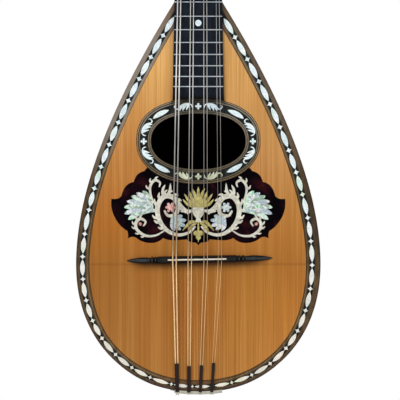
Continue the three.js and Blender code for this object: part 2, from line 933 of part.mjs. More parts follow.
function bridge() {
  const blockHalf = bridgeBlockLength / 2;
  const right = bridgeArmShares.map(([along, width, height]) =>
    bridgeSection(blockHalf + along * bridgeRightArm, width, height),
  );
  const left = bridgeArmShares
    .map(([along, width, height]) =>
      bridgeSection(-blockHalf - along * bridgeLeftArm, width, height),
    )
    .reverse();
  const slotHalf = saddleLength / 2 + gap;
  const slotFloor = -bridgeHeight + saddleSlotDepth;
  const slotSide = saddleThickness / 2 + gap;
  const slot = block(-slotHalf, slotHalf, -bridgeHeight - overrun, slotFloor, -slotSide, slotSide);
  return cut(loft([...left, ...right]), slot);
}

function saddle() {
  const half = saddleLength / 2;
  const floor = -bridgeHeight + saddleSlotDepth - gap;
  return block(
    -half,
    half,
    -heightAtSaddle + gap,
    floor,
    -saddleThickness / 2,
    saddleThickness / 2,
  );
}

// Tuning machines, in the head's own frame

const plateBack = headThickness + gap + plateThickness;
const gearMiddle = plateBack + wormTipRadius + wormAbovePlate;

function gearOutline() {
  const corner = (radius, angle) =>
    new THREE.Vector2(radius * Math.sin(angle), radius * Math.cos(angle));
  return spread(0, gearTeeth - 1, gearTeeth - 1).flatMap((tooth) => {
    const middle = (tooth * turn) / gearTeeth;
    const atTip = (toothTipShare * wormLead) / 2 / gearTipRadius;
    const atRoot = (toothRootShare * wormLead) / 2 / gearRootRadius;
    return [
      corner(gearRootRadius, middle - atRoot),
      corner(gearTipRadius, middle - atTip),
      corner(gearTipRadius, middle + atTip),
      corner(gearRootRadius, middle + atRoot),
    ];
  });
}

// A string post with its gear and the screw that holds the gear
function stringPost() {
  const gear = plate(
    new THREE.Shape(gearOutline()),
    gearMiddle - gearThickness / 2,
    gearMiddle + gearThickness / 2,
  );
  const gearBack = gearMiddle + gearThickness / 2;
  const stem = barAlongY(postRadius, -postAboveHead, gearMiddle, postSides);
  const screw = barAlongY(gearScrewRadius, gearMiddle, gearBack + gearScrewHeight, shaftSides);
  const hole = barAlongX(postHoleRadius, -overrun, overrun, stringSides).translate(
    0,
    -windingAboveHead - postHoleAboveWinding,
    0,
  );
  return cut(join(stem, gear, screw), hole);
}

// The worm's thread, which lies half a lead either side of the gear tooth that it meets
function wormThread(side) {
  const turns = (2 * wormHalfLength) / wormLead;
  const steps = Math.round(turns * threadStepsPerTurn);
  const inner = wormRootRadius - gap;
  return loft(
    spread(-turns / 2, turns / 2, steps).map((t) => {
      const angle = t * turn + turn / 2;
      const at = (x, radius) =>
        new THREE.Vector3(
          side * (t * wormLead + x),
          radius * Math.sin(angle),
          radius * Math.cos(angle),
        );
      return [
        at((wormLead * (1 - threadRootShare)) / 2, inner),
        at((wormLead * (1 - threadCrestShare)) / 2, wormTipRadius),
        at((wormLead * (1 + threadCrestShare)) / 2, wormTipRadius),
        at((wormLead * (1 + threadRootShare)) / 2, inner),
      ];
    }),
  );
}

function keyButton(side) {
  const half = buttonLength / 2 - buttonBevel;
  const wide = buttonWidth / 2 - buttonBevel;
  const shape = new THREE.Shape(
    new THREE.EllipseCurve(0, 0, half, wide, 0, turn).getPoints(buttonPoints).slice(0, -1),
  );
  return new THREE.ExtrudeGeometry(shape, {
    depth: buttonThickness - 2 * buttonBevel,
    bevelEnabled: true,
    bevelThickness: buttonBevel,
    bevelSize: buttonBevel,
    bevelSegments: 1,
  }).translate(
    side * (buttonFromPost + buttonLength / 2),
    0,
    -(buttonThickness - 2 * buttonBevel) / 2,
  );
}

// A key: shaft, worm, its two collars and the button on the outer end
function tuningKey(side) {
  const along = (radius, from, to, sides) => {
    const ends = [side * from, side * to].sort((a, b) => a - b);
    return barAlongX(radius, ...ends, sides);
  };
  const inEnd = collarEnd + gap + earThickness + shaftBeyondEar;
  return join(
    along(shaftRadius, -inEnd, buttonFromPost + buttonLength * shaftInButtonShare, shaftSides),
    along(wormRootRadius, -collarEnd, collarEnd, threadStepsPerTurn),
    along(collarRadius, -collarEnd, -collarEnd + collarLength, shaftSides),
    along(collarRadius, collarEnd - collarLength, collarEnd, shaftSides),
    wormThread(side),
    keyButton(side),
  );
}

// A plate with four pairs of bent-up ears that carry the key shafts
function machinePlate(side) {
  const places = postPlaces.filter((place) => place.side === side);
  const x = (side * postSpread) / 2;
  const low = places[0].z - plateOverhang;
  const high = places.at(-1).z + plateOverhang + wormOffset;
  const front = headThickness + gap;
  const sheet = block(x - plateHalfWidth, x + plateHalfWidth, front, plateBack, low, high);
  const ears = places.flatMap((place) =>
    [-1, 1].map((end) => {
      const near = collarEnd + gap;
      const ends = [x + end * near, x + end * (near + earThickness)].sort((a, b) => a - b);
      const z = place.z + wormOffset;
      return block(
        ...ends,
        plateBack - plateThickness,
        gearMiddle + earAboveShaft,
        z - earWidth / 2,
        z + earWidth / 2,
      );
    }),
  );
  const bores = places.flatMap((place) => [
    barAlongY(
      clearing(postRadius, postSides),
      -overrun,
      plateBack + overrun,
      postSides,
    ).translate(x, 0, place.z),
    barAlongX(
      clearing(shaftRadius, shaftSides),
      x - 2 * plateHalfWidth,
      x + 2 * plateHalfWidth,
      shaftSides,
    ).translate(
      0,
      gearMiddle,
      place.z + wormOffset,
    ),
  ]);
  return cut(join(sheet, ...ears), ...bores);
}

// Tail fittings

const restHalfLength = tailSpan / 2 - tailShift + restMargin;
const restStations = [
  ...spread(stationAtWidth(restHalfLength), tailStation, restSteps)
    .slice(0, -1)
    .map((station) => ({ station, side: 1 })),
  ...spread(tailStation, stationAtWidth(restHalfLength), restSteps).map((station) => ({
    station,
    side: -1,
  })),
];

const stringRest = () =>
  edgeStrip(-gap - restThickness, -gap, -restAboveBoard, restDepth - restAboveBoard, restStations);

function endClasp() {
  const first = restDepth - restAboveBoard + gap - rimBack;
  return tailPatch(
    spread(-claspHalfWidth, claspHalfWidth, claspSteps),
    (x) => {
      const share = Math.abs(x) / claspHalfWidth;
      const scallop = Math.abs(Math.sin((share * claspScallops * Math.PI) / 2));
      const depth = claspDepth * (1 - share * share) + claspScallop * (1 - scallop);
      return spread(first, first + Math.max(depth, 2 * claspThickness), tailDepthSteps);
    },
    -gap - claspThickness,
    -gap,
  );
}

function tailpiece() {
  const half = tailSpan / 2 + tailpieceMargin;
  const offset = 2 * gap + claspThickness;
  const sheet = tailPatch(
    spread(tailShift - half, tailShift + half, tailpieceSteps),
    () => spread(tailpieceTop, tailpieceTop + tailpieceDepth, tailDepthSteps),
    -offset - tailpieceThickness,
    -offset,
  );
  const tip = tailZ - offset - tailpieceThickness - hookHeight;
  const y = tailRim + rimBack + hookDepth;
  const hooks = stringPlan.flatMap(({ tailX }) => {
    const root = tailPoint(tailX, hookDepth).z - offset - tailpieceThickness / 2;
    return [
      barAlongZ(hookRadius, tip, root, stringSides).translate(tailX, y, 0),
      block(
        tailX - hookRadius,
        tailX + hookRadius,
        y - hookLip,
        y + hookRadius,
        tip - hookLipThickness,
        tip,
      ),
    ];
  });
  return join(sheet, ...hooks);
}

// The end button and its peg, drawn from the bowl's skin outward along the lathe's axis
function endButton() {
  const profile = [
    [0, -pegLength],
    [pegRadius, -pegLength],
    [pegRadius, endButtonHeight - endButtonCap],
    [endButtonRadius, endButtonHeight - endButtonCap],
    [endButtonRadius, endButtonHeight - endButtonRim],
    [endButtonFace, endButtonHeight],
    [0, endButtonHeight],
  ].map(([radius, height]) => new THREE.Vector2(radius, height));
  return new THREE.LatheGeometry(profile, roundSides).rotateX(-Math.PI / 2);
}

const endButtonSpot = tailPoint(0, endButtonDepth);

const pegBore = () =>
  barAlongZ(clearing(pegRadius, roundSides), -overrun, pegLength + overrun, roundSides).translate(
    endButtonSpot.x,
    endButtonSpot.y,
    endButtonSpot.z,
  );

// Assembly

const finish = {
  spruce: { color: 0xc98a3c, roughness: 0.38, metalness: 0 },
  rosewood: { color: 0x4a2618, roughness: 0.32, metalness: 0 },
  maple: { color: 0x6b3f24, roughness: 0.4, metalness: 0 },
  blockWood: { color: 0xb98d5a, roughness: 0.7, metalness: 0 },
  ebony: { color: 0x14141a, roughness: 0.35, metalness: 0 },
  mastic: { color: 0x15181a, roughness: 0.3, metalness: 0 },
  tortoise: { color: 0x230c0a, roughness: 0.15, metalness: 0 },
  bone: { color: 0xe9e2cd, roughness: 0.4, metalness: 0 },
  steel: { color: 0xb9b4aa, roughness: 0.3, metalness: 0.9 },
  nickel: { color: 0xc9c4b6, roughness: 0.25, metalness: 0.9 },
  brass: { color: 0xb08d4a, roughness: 0.35, metalness: 0.9 },
};

const materials = Object.fromEntries(
  Object.entries(finish).map(([name, look]) => [name, new THREE.MeshStandardMaterial(look)]),
);

function piece(name, geometry, look) {
  const mesh = new THREE.Mesh(geometry, materials[look]);
  mesh.name = name;
  return mesh;
}

const body = new THREE.Group();
for (let index = 0; index < ribCount; index++) {
  const stave = index === (ribCount - 1) / 2 ? cut(rib(index), pegBore()) : rib(index);
  body.add(piece(`bowl_rib_${index + 1}`, stave, "rosewood"));
}
body.add(
  piece("soundboard", soundboard(), "spruce"),
  piece("edge_binding", binding(), "rosewood"),
  piece("edge_purfling", purfling(), "mastic"),
  piece("rosette", rosette(), "mastic"),
  piece("pickguard", pickguard(), "tortoise"),
  piece("rim_lining", lining(), "blockWood"),
  piece("neck_block", neckBlock(), "blockWood"),
  piece("tail_block", cut(tailBlock(), pegBore()), "blockWood"),
  piece("end_clasp", endClasp(), "rosewood"),
  piece("string_rest", stringRest(), "bone"),
  piece("tailpiece", tailpiece(), "nickel"),
);
braceBelowHole.forEach((belowHole, i) => {
  const bar = brace(soundHoleBelowNut + belowHole);
  body.add(piece(`soundboard_brace_${i + 1}`, bar, "blockWood"));
});

const button = piece("end_button", endButton(), "ebony");
button.position.copy(endButtonSpot);

const bridgeGroup = new THREE.Group();
bridgeGroup.add(piece("bridge", bridge(), "ebony"), piece("saddle", saddle(), "bone"));
bridgeGroup.position.set(bridgeShift, 0, saddleZ);
bridgeGroup.rotation.y = -bridgeSlant;

const neckGroup = new THREE.Group();
neckGroup.add(
  piece("neck", neck(), "maple"),
  piece("fingerboard", fingerboard(), "ebony"),
  piece("nut", nut(), "bone"),
);

const strings = new THREE.Group();
for (const plan of stringPlan) {
  strings.add(piece(`string_${plan.index + 1}`, instrumentString(plan), "steel"));
}

const head = new THREE.Group();
head.applyMatrix4(headFrame);
head.add(
  piece("head_veneer", headVeneer(), "rosewood"),
  piece("machine_plate_left", machinePlate(-1), "brass"),
  piece("machine_plate_right", machinePlate(1), "brass"),
);
for (const { index, post } of stringPlan) {
  const stringPostMesh = piece(`string_post_${index + 1}`, stringPost(), "nickel");
  stringPostMesh.position.set(post.x, 0, post.z);
  const key = piece(`tuning_key_${index + 1}`, tuningKey(post.side), "bone");
  key.position.set(post.x, gearMiddle, post.z + wormOffset);
  head.add(stringPostMesh, key);
}

const mandocello = new THREE.Group();
mandocello.add(body, button, bridgeGroup, neckGroup, strings, head);

export default mandocello;
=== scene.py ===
import bisect
import math

import bmesh
import bpy
from mathutils import Matrix, Vector


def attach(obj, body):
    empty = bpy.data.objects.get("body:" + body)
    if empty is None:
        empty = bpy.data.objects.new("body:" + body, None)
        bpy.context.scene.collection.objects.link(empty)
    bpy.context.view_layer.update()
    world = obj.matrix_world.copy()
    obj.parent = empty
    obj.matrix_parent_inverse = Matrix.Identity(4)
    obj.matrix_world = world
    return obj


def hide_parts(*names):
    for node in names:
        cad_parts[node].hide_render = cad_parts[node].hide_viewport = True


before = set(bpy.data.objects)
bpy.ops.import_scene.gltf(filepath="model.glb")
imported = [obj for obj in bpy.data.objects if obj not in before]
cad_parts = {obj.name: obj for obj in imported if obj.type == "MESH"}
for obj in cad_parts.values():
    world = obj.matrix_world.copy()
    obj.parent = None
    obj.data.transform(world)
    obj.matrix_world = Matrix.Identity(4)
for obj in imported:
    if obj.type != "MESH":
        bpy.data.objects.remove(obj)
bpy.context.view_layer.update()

# Lengths are in millimetres, in the frame of the solids: +Z runs up the neck, -Y is the front and
# +X is the right-hand side. A mesh is scaled to metres when it is made.
MM = 0.001
TURN = 2 * math.pi
INSTRUMENT = "instrument"

# Strings and setup
SCALE_LENGTH = 600
SADDLE_COMPENSATION = 5.6
BRIDGE_SLANT = math.radians(1.1)
BRIDGE_SHIFT = -1.6
COURSES = 4
COURSE_AT_NUT = 14.6
COURSE_AT_SADDLE = 20
COURSE_AT_TAIL = 15.3
PAIR_AT_NUT = 3.6
PAIR_AT_SADDLE = 4.6
SADDLE_STRAY = (-0.3, 0, 1.1, 0)
PAIR_AT_TAIL = 2.8
NUT_SHIFT = 1.5
SADDLE_SHIFT = -1.3
TAIL_SHIFT = -5
STRING_RADII = (0.94, 0.61, 0.43, 0.28)
STRING_SIDES = 10
HEIGHT_AT_NUT = 7.3
ACTION_AT_NUT = 0.2
ACTION_AT_OCTAVE = 2.53
GAP = 0.3

# Body
BODY_WIDTH = 324.6
FOLD_BEHIND_SADDLE = 6.4
LOWER_BOUT = 169.8
BOUT_FULLNESS = 2.15
BOUT_PULL = 106
SHOULDER_PULL = 119
SHOULDER_FLARE_SHARE = 0.62
CANT = math.radians(7)
WIDTH_AT_JOINT = 62.8
BOWL_DEPTH = 182
HEEL_DEPTH = 38
HEEL_RISE_SHARE = 0.55
RIBS = 13
RIB_THICKNESS = 2.4
RIB_ARC_STEPS = 4
RIB_STEPS = 46
RIB_BULGE_SHARE = 0.45
RIB_TRIM_SHARE = 0.02
TAIL_OPENING = 9
FILLET_HALF = 0.45
FILLET_PROUD = 0.12
FILLET_DEPTH = 0.8
BOARD_THICKNESS = 3
INLAY_DEPTH = 1.5
OUTLINE_STEPS = 90

# Border round the soundboard: the place of each strip in from the edge
BINDING_EDGE = 1.7
MASTIC_START = 5.1
MASTIC_END = 13.5
BORDER_END = 18.2
STAR_PITCH = 26.6
STAR_SPREAD_SHARE = 0.007
STAR_SHIFT = 7.6
STARS_EACH_SIDE = 19
STAR_SHARE = 1.06
OVAL_SHARE = 0.88
OVAL_CLEARANCE = 0.5
# The border was laid by eye and narrows round the tail. Each row: the station along the edge,
# the pearl line's place on the right and on the left, half the width of the mastic, and where the
# spruce starts on the right and on the left
BORDER_RUN = (
    (0, 9.6, 10.1, 4, 18.2, 18.2),
    (0.2, 9.6, 10.1, 4, 18.2, 18.2),
    (0.4, 10, 9.9, 4, 18.4, 18.2),
    (0.6, 11, 9.6, 3.9, 19, 18.2),
    (0.9, 11.3, 8.9, 3.7, 19.4, 18),
    (1.1, 11.2, 8.2, 3.6, 19.2, 17.6),
    (1.2, 10.7, 7.9, 3.6, 18.7, 17.1),
    (1.3, 9.5, 7.2, 3.5, 17.3, 16.1),
    (1.4, 8.2, 6.8, 3.5, 16.1, 15.1),
    (1.55, 7.4, 6.9, 3.3, 15.5, 14.8),
    (1.7, 7, 7, 3, 15, 14.9),
    (1.85, 6.2, 6.2, 2.7, 14.7, 14.7),
    (2, 6, 6, 2.4, 14.6, 14.6),
)
# The stars were set by eye too. Each row: the run from the tail's middle, right before left, and
# how far the stars there stray from an even spacing
STAR_STRAY = (
    (-640, -9.6),
    (-490, -9.2),
    (-440, -7.8),
    (-401, -6.6),
    (-338, -8.2),
    (-277, -6.5),
    (-217, -3),
    (-160, -2.5),
    (-130, -3.1),
    (-46, 0),
    (-24, -0.5),
    (10, -0.9),
    (34, 0.6),
    (61, 3.2),
    (145, 3.4),
    (174, 1.3),
    (232, 0),
    (292, 0.4),
    (322, 2.3),
    (384, -0.5),
    (448, -1),
    (640, -3.6),
)

# Sound hole, rosette and pickguard
HOLE_Z = -448.98
HOLE_HALF_WIDTH = 62.6
HOLE_HALF_HEIGHT = 36.8
HOLE_FULLNESS_ABOVE = 2.34
HOLE_FULLNESS_BELOW = 2.15
ROSETTE_WIDTH = 19.8
ROSETTE_STEPS = 144
ROSETTE_PEARL = 9.8
ROSETTE_MASTIC_START = 5.2
ROSETTE_MASTIC_END = 14.4
GUARD_WIDTH = 230.6
GUARD_BELOW_HOLE = 24.7
GUARD_HEIGHT = 113.4
GUARD_STEPS = 9
SEAT = 0.06
PROUD = 0.04
CROWN = 0.16
ROOT_DEPTH = 0.35

# Neck, fingerboard and head
NUT_WIDTH = 53
NECK_DEPTH_AT_NUT = 18
NECK_DEPTH_AT_HEEL = 22
HEEL_LENGTH = 66
NECK_SIDES = 28
HEEL_STEPS = 22
SHAFT_STEPS = 12
NECK_ROUNDING = 0.3
HEAD_ROUNDING = 1.2
VENEER_ROUNDING = 0.5
FRETBOARD_ROUNDING = 0.5
FRETBOARD_ARC_STEPS = 30
FRETBOARD_DEPTH = 6
FRETBOARD_PAST_ROSETTE = 4.6
FRETS = 17
FRET_HEIGHT = 1.1
FRET_WIDTH = 1.4
FRET_SET_BACK = 1.2
FRET_TANG = 0.4
FRET_END = 0.8
FRET_END_SHARE = 0.35
FRET_ROUND_STEPS = 6
DOT_RADIUS = 4.2
DOT_ROOT = 0.4
DOT_SIDES = 36
DOT_SPACES = (5, 7, 10, 12)
NUT_LENGTH = 6
NECK_PAST_NUT = 7.4
HEAD_TILT = math.radians(14)
HEAD_THICKNESS = 16
VENEER_THICKNESS = 1.6
HEAD_LENGTH = 178
HEAD_SHOULDER_LENGTH = 26
HEAD_SHOULDER_WIDTH = 84
HEAD_TOP_WIDTH = 90
HEAD_CROWN = 24
HEAD_ROOT = 2
HEAD_CURVE_STEPS = 10

# Tuning machines
POST_SPACING = 33
FIRST_POST = 38
POST_SPREAD = 60
POST_RADIUS = 3
POST_CORE = 0.4
POST_SIDES = 28
PLATE_THICKNESS = 1.2
PLATE_OVERHANG = 15
GEAR_TEETH = 14
WORM_LEAD = 2.7
GEAR_THICKNESS = 2.4
GEAR_ADDENDUM_SHARE = 0.196
WORM_ADDENDUM_SHARE = 0.235
TOOTH_TIP_SHARE = 0.222
TOOTH_ROOT_SHARE = 0.48
THREAD_CREST_SHARE = 0.204
THREAD_ROOT_SHARE = 0.407
WORM_PITCH_RADIUS = 2.5
WORM_HALF = 4.05
THREAD_STEPS = 20
COLLAR_LENGTH = 2
COLLAR_RADIUS = 2.7
EAR_THICKNESS = 1.9
SHAFT_RADIUS = 1.5
SHAFT_PAST_EAR = 0.8
WORM_ABOVE_PLATE = 0.45
SHAFT_BEVEL = 0.3
SHAFT_IN_BUTTON_SHARE = 0.33
SCREW_SIDES = 24
PLATE_SCREW_SIDES = 20
PLATE_SCREW_FROM_FOOT = 5
PLATE_SCREW_FROM_TOP = 4
PLATE_SCREW_SHIFT = 1
BUTTON_FROM_HEAD = 3
BUTTON_LENGTH = 17
BUTTON_WIDTH = 15
BUTTON_THICKNESS = 5
BUTTON_STEPS = 18
BUTTON_SIDES = 28
WINDING_TURNS = 2
WINDING_STEPS = 20
WINDING_ABOVE_HEAD = 7.2
WINDING_GAP = 0.45

# Bridge and saddle
BRIDGE_BLOCK_END = 12
BRIDGE_LEFT_ARM = 42
BRIDGE_RIGHT_ARM = 49
BRIDGE_WIDTH = 10
BRIDGE_TOP_WIDTH = 5.4
BRIDGE_ROUNDING = 0.25
SADDLE_ABOVE_BRIDGE = 1.5
SADDLE_END = 6.7
SADDLE_THICKNESS = 2
SADDLE_SLOT = 4

# Tail
REST_MARGIN = 2
REST_THICKNESS = 3
REST_LIP = 1.2
REST_ABOVE_BOARD = 1
REST_DEPTH = 4.2
REST_STEPS = 24
TAIL_BEND = 1.3
TAIL_BEND_STEPS = 8
TAIL_BEND_START_SHARE = 0.1
CLASP_HALF = 104
CLASP_DEPTH = 26
CLASP_SCALLOP = 9
CLASP_SCALLOPS = 3
CLASP_THICKNESS = 1.2
CLASP_STEPS = 96
CLASP_ROWS = 10
CLASP_FADE = 40
CLASP_EDGE_SHARE = 0.2
TAILPIECE_MARGIN = 8.3
TAILPIECE_TOP = 2.4
TAILPIECE_DEPTH = 30
TAILPIECE_THICKNESS = 1.2
TAILPIECE_CORNER = 5
TAILPIECE_CORNER_STEPS = 6
TAILPIECE_STEPS = 20
TAILPIECE_ROWS = 14
TAILPIECE_SCREW_INSET = 7
TAILPIECE_SCREW_RISE = 6
HOOK_BELOW_TOP = 18.6
HOOK_RADIUS = 1.3
HOOK_HEIGHT = 2.8
HOOK_SIDES = 14
END_BUTTON_RADIUS = 8
END_BUTTON_BELOW_PLATE = 1.6
END_BUTTON_SIDES = 40
SLEEVE_TOPS = (-744.3, -747.8, -746.8, -743.7)
SLEEVE_FEET = (-782.7, -783.4, -783.2, -783)
SLEEVE_WALL = 0.25
SLEEVE_STEPS = 16
SLEEVE_SIDES = 20

# Where the surfaces darken, warm or pale, with painted shade and sheen among them: places on Z, reaches to
# each side, and lengths from a place
VARNISH_TOP = -280
VARNISH_FOOT = -760
VARNISH_REACH = 90
GRAIN_BAND_TOP = -560
GRAIN_BAND_FOOT = -640
GRAIN_BAND_REACH = 70
CREASE_SHADE_REACH = 2.4
EDGE_SIDE_REACH = 40
PEARL_WASH_TOP = -500
PEARL_WASH_FOOT = -720
TAIL_SHADE_REACH = 54
TAIL_SHADE_START = 4
TAIL_SHADE_END = 8
BOARD_FOOT = -387.4
BOARD_FOOT_FADE = 2.4
BOARD_SHADE_REACH = 42
SEAM_SHADE_REACH = 24
SEAM_SHADE_START = 14
SEAM_SHADE_END = 12
BRIDGE_SHADE = 17.5
BRIDGE_SHADE_REACH = 95
SILK_START = 1
SILK_END = 2

# How deep the relief of each surface is
METAL_RELIEF = 0.01
POLISH_RELIEF = 0.015
SHELL_RELIEF = 0.02
GRAIN_RELIEF = 0.03
PORE_RELIEF = 0.04
LEATHER_RELIEF = 0.08
WINDING_RELIEF = 0.12

# The scale of the waves that make the ridges of wound wire
WINDING_SCALE = 700.0

# Picture frame: millimetres in a pixel, and the pixel of the camera's axis on the centre line
PIXEL = 1.327
PICTURE_SIDE = 400
CENTRE_COLUMN = 198.3
OCTAVE_ROW = 29.1
LENS = 250
SENSOR = 36

# Places that follow from the sizes above


def fret_distance(fret):
    return SCALE_LENGTH * (1 - 2 ** (-fret / 12))


JOINT_Z = -fret_distance(10)
SADDLE_Z = -(SCALE_LENGTH + SADDLE_COMPENSATION)
FOLD_Z = SADDLE_Z - FOLD_BEHIND_SADDLE
TAIL_Z = FOLD_Z - LOWER_BOUT
RIM_BACK = BOARD_THICKNESS + GAP
STRING_RISE = (ACTION_AT_OCTAVE - ACTION_AT_NUT) / fret_distance(12)
HEIGHT_AT_SADDLE = HEIGHT_AT_NUT + STRING_RISE * (SCALE_LENGTH + SADDLE_COMPENSATION)
SADDLE_LENGTH = COURSE_AT_SADDLE * (COURSES - 1) + PAIR_AT_SADDLE + 2 * SADDLE_END
BLOCK_HALF = SADDLE_LENGTH / 2 + BRIDGE_BLOCK_END
BRIDGE_HEIGHT = HEIGHT_AT_SADDLE - GAP - SADDLE_ABOVE_BRIDGE
FRETBOARD_END = HOLE_Z + HOLE_HALF_HEIGHT + ROSETTE_WIDTH - FRETBOARD_PAST_ROSETTE
TAIL_SPAN = COURSE_AT_TAIL * (COURSES - 1) + PAIR_AT_TAIL
HOOK_DEPTH = TAILPIECE_TOP + HOOK_BELOW_TOP
GEAR_PITCH_RADIUS = GEAR_TEETH * WORM_LEAD / TURN
WORM_OFFSET = GEAR_PITCH_RADIUS + WORM_PITCH_RADIUS
WORM_TIP = WORM_PITCH_RADIUS + WORM_ADDENDUM_SHARE * WORM_LEAD
GEAR_TIP = GEAR_PITCH_RADIUS + GEAR_ADDENDUM_SHARE * WORM_LEAD
GEAR_ROOT = WORM_OFFSET - WORM_TIP - GAP
WORM_ROOT = WORM_OFFSET - GEAR_TIP - GAP
COLLAR_END = WORM_HALF + WORM_LEAD / 2 + COLLAR_LENGTH
BUTTON_FROM_POST = (HEAD_TOP_WIDTH - POST_SPREAD) / 2 + BUTTON_FROM_HEAD
PLATE_BACK = HEAD_THICKNESS + GAP + PLATE_THICKNESS
GEAR_MIDDLE = PLATE_BACK + WORM_TIP + WORM_ABOVE_PLATE
HEAD_FRAME = Matrix.Translation((0, 0, NUT_LENGTH)) @ Matrix.Rotation(-HEAD_TILT, 4, "X")


def lean_at(z):
    return max(0, FOLD_Z - z) * math.tan(CANT)


TAIL_RIM = lean_at(TAIL_Z)

# The camera and the light


def camera():
    lens = bpy.data.cameras.new("camera")
    lens.type = "PERSP"
    lens.lens = LENS
    lens.sensor_width = SENSOR
    view = bpy.data.objects.new("camera", lens)
    bpy.context.scene.collection.objects.link(view)
    distance = LENS / SENSOR * PIXEL * PICTURE_SIDE
    middle = PICTURE_SIDE / 2
    x = (middle - CENTRE_COLUMN) * PIXEL
    z = -SCALE_LENGTH / 2 - (middle - OCTAVE_ROW) * PIXEL
    view.location = Vector((x, -distance, z)) * MM
    view.rotation_euler = (math.pi / 2, 0, 0)
    bpy.context.scene.camera = view
    bpy.context.scene.view_settings.view_transform = "Standard"


def white_to_camera(tree, plain, pure, output, socket):
    """Shows the pure shader to camera, glossy and transmission rays, and the plain one to the rest."""
    path = tree.nodes.new("ShaderNodeLightPath")
    seen = path.outputs["Is Camera Ray"]
    for ray in ("Is Glossy Ray", "Is Transmission Ray"):
        either = tree.nodes.new("ShaderNodeMath")
        either.operation = "MAXIMUM"
        tree.links.new(seen, either.inputs[0])
        tree.links.new(path.outputs[ray], either.inputs[1])
        seen = either.outputs[0]
    mix = tree.nodes.new("ShaderNodeMixShader")
    tree.links.new(seen, mix.inputs[0])
    tree.links.new(plain, mix.inputs[1])
    tree.links.new(pure, mix.inputs[2])
    tree.links.new(mix.outputs[0], output.inputs[socket])


DOME = 0.38
FLOOR_Z = -1150
FLOOR_SIDE = 9000
FLOOR_SHADOW_SHARE = 0.2
FLOOR_GREY = 0.9
LAMPS = (
    # name, watts, side of the square lamp, place
    ("key", 40, 1300, (-900, -2100, 1100)),
    ("fill", 16, 1700, (1700, -2300, -300)),
    ("back", 22, 1500, (500, 2400, 900)),
)


def studio():
    world = bpy.data.worlds.new("studio")
    bpy.context.scene.world = world
    world.use_nodes = True
    tree = world.node_tree
    plain = tree.nodes["Background"]
    plain.inputs["Color"].default_value = linear(1)
    plain.inputs["Strength"].default_value = DOME
    pure = tree.nodes.new("ShaderNodeBackground")
    pure.inputs["Color"].default_value = linear(1)
    output = tree.nodes["World Output"]
    white_to_camera(tree, plain.outputs[0], pure.outputs[0], output, "Surface")
    middle = Vector((0, 0, HOLE_Z)) * MM
    for name, watts, side, place in LAMPS:
        lamp = bpy.data.lights.new(name, "AREA")
        lamp.energy = watts
        lamp.size = side * MM
        light = bpy.data.objects.new(name, lamp)
        bpy.context.scene.collection.objects.link(light)
        light.location = Vector(place) * MM
        light.rotation_euler = (middle - light.location).to_track_quat("-Z", "Y").to_euler()


def floor():
    half = FLOOR_SIDE * MM / 2
    z = FLOOR_Z * MM
    mesh = bpy.data.meshes.new("floor")
    corners = [(-half, -half, z), (half, -half, z), (half, half, z), (-half, half, z)]
    mesh.from_pydata(corners, [], [(0, 1, 2, 3)])
    ground = bpy.data.objects.new("floor", mesh)
    bpy.context.scene.collection.objects.link(ground)
    material = bpy.data.materials.new("floor")
    material.use_nodes = True
    tree = material.node_tree
    tree.nodes.remove(tree.nodes["Principled BSDF"])
    diffuse = tree.nodes.new("ShaderNodeBsdfDiffuse")
    diffuse.inputs["Color"].default_value = linear(FLOOR_GREY)
    glow = tree.nodes.new("ShaderNodeEmission")
    share = tree.nodes.new("ShaderNodeMixShader")
    share.inputs[0].default_value = FLOOR_SHADOW_SHARE
    tree.links.new(glow.outputs[0], share.inputs[1])
    tree.links.new(diffuse.outputs[0], share.inputs[2])
    output = tree.nodes["Material Output"]
    white_to_camera(tree, diffuse.outputs[0], share.outputs[0], output, "Surface")
    mesh.materials.append(material)


# Materials


def linear(colour):
    """What a shader takes for a grey from 0 to 1, or for a colour as it is seen, from 0 to 255."""
    if isinstance(colour, (int, float)):
        return (colour, colour, colour, 1)
    values = []
    for value in colour:
        share = value / 255
        values.append(share / 12.92 if share <= 0.04045 else ((share + 0.055) / 1.055) ** 2.4)
    return (*values, 1)


SOCKETS = {
    "metallic": "Metallic",
    "specular": "Specular IOR Level",
    "coat": "Coat Weight",
    "coat_roughness": "Coat Roughness",
}


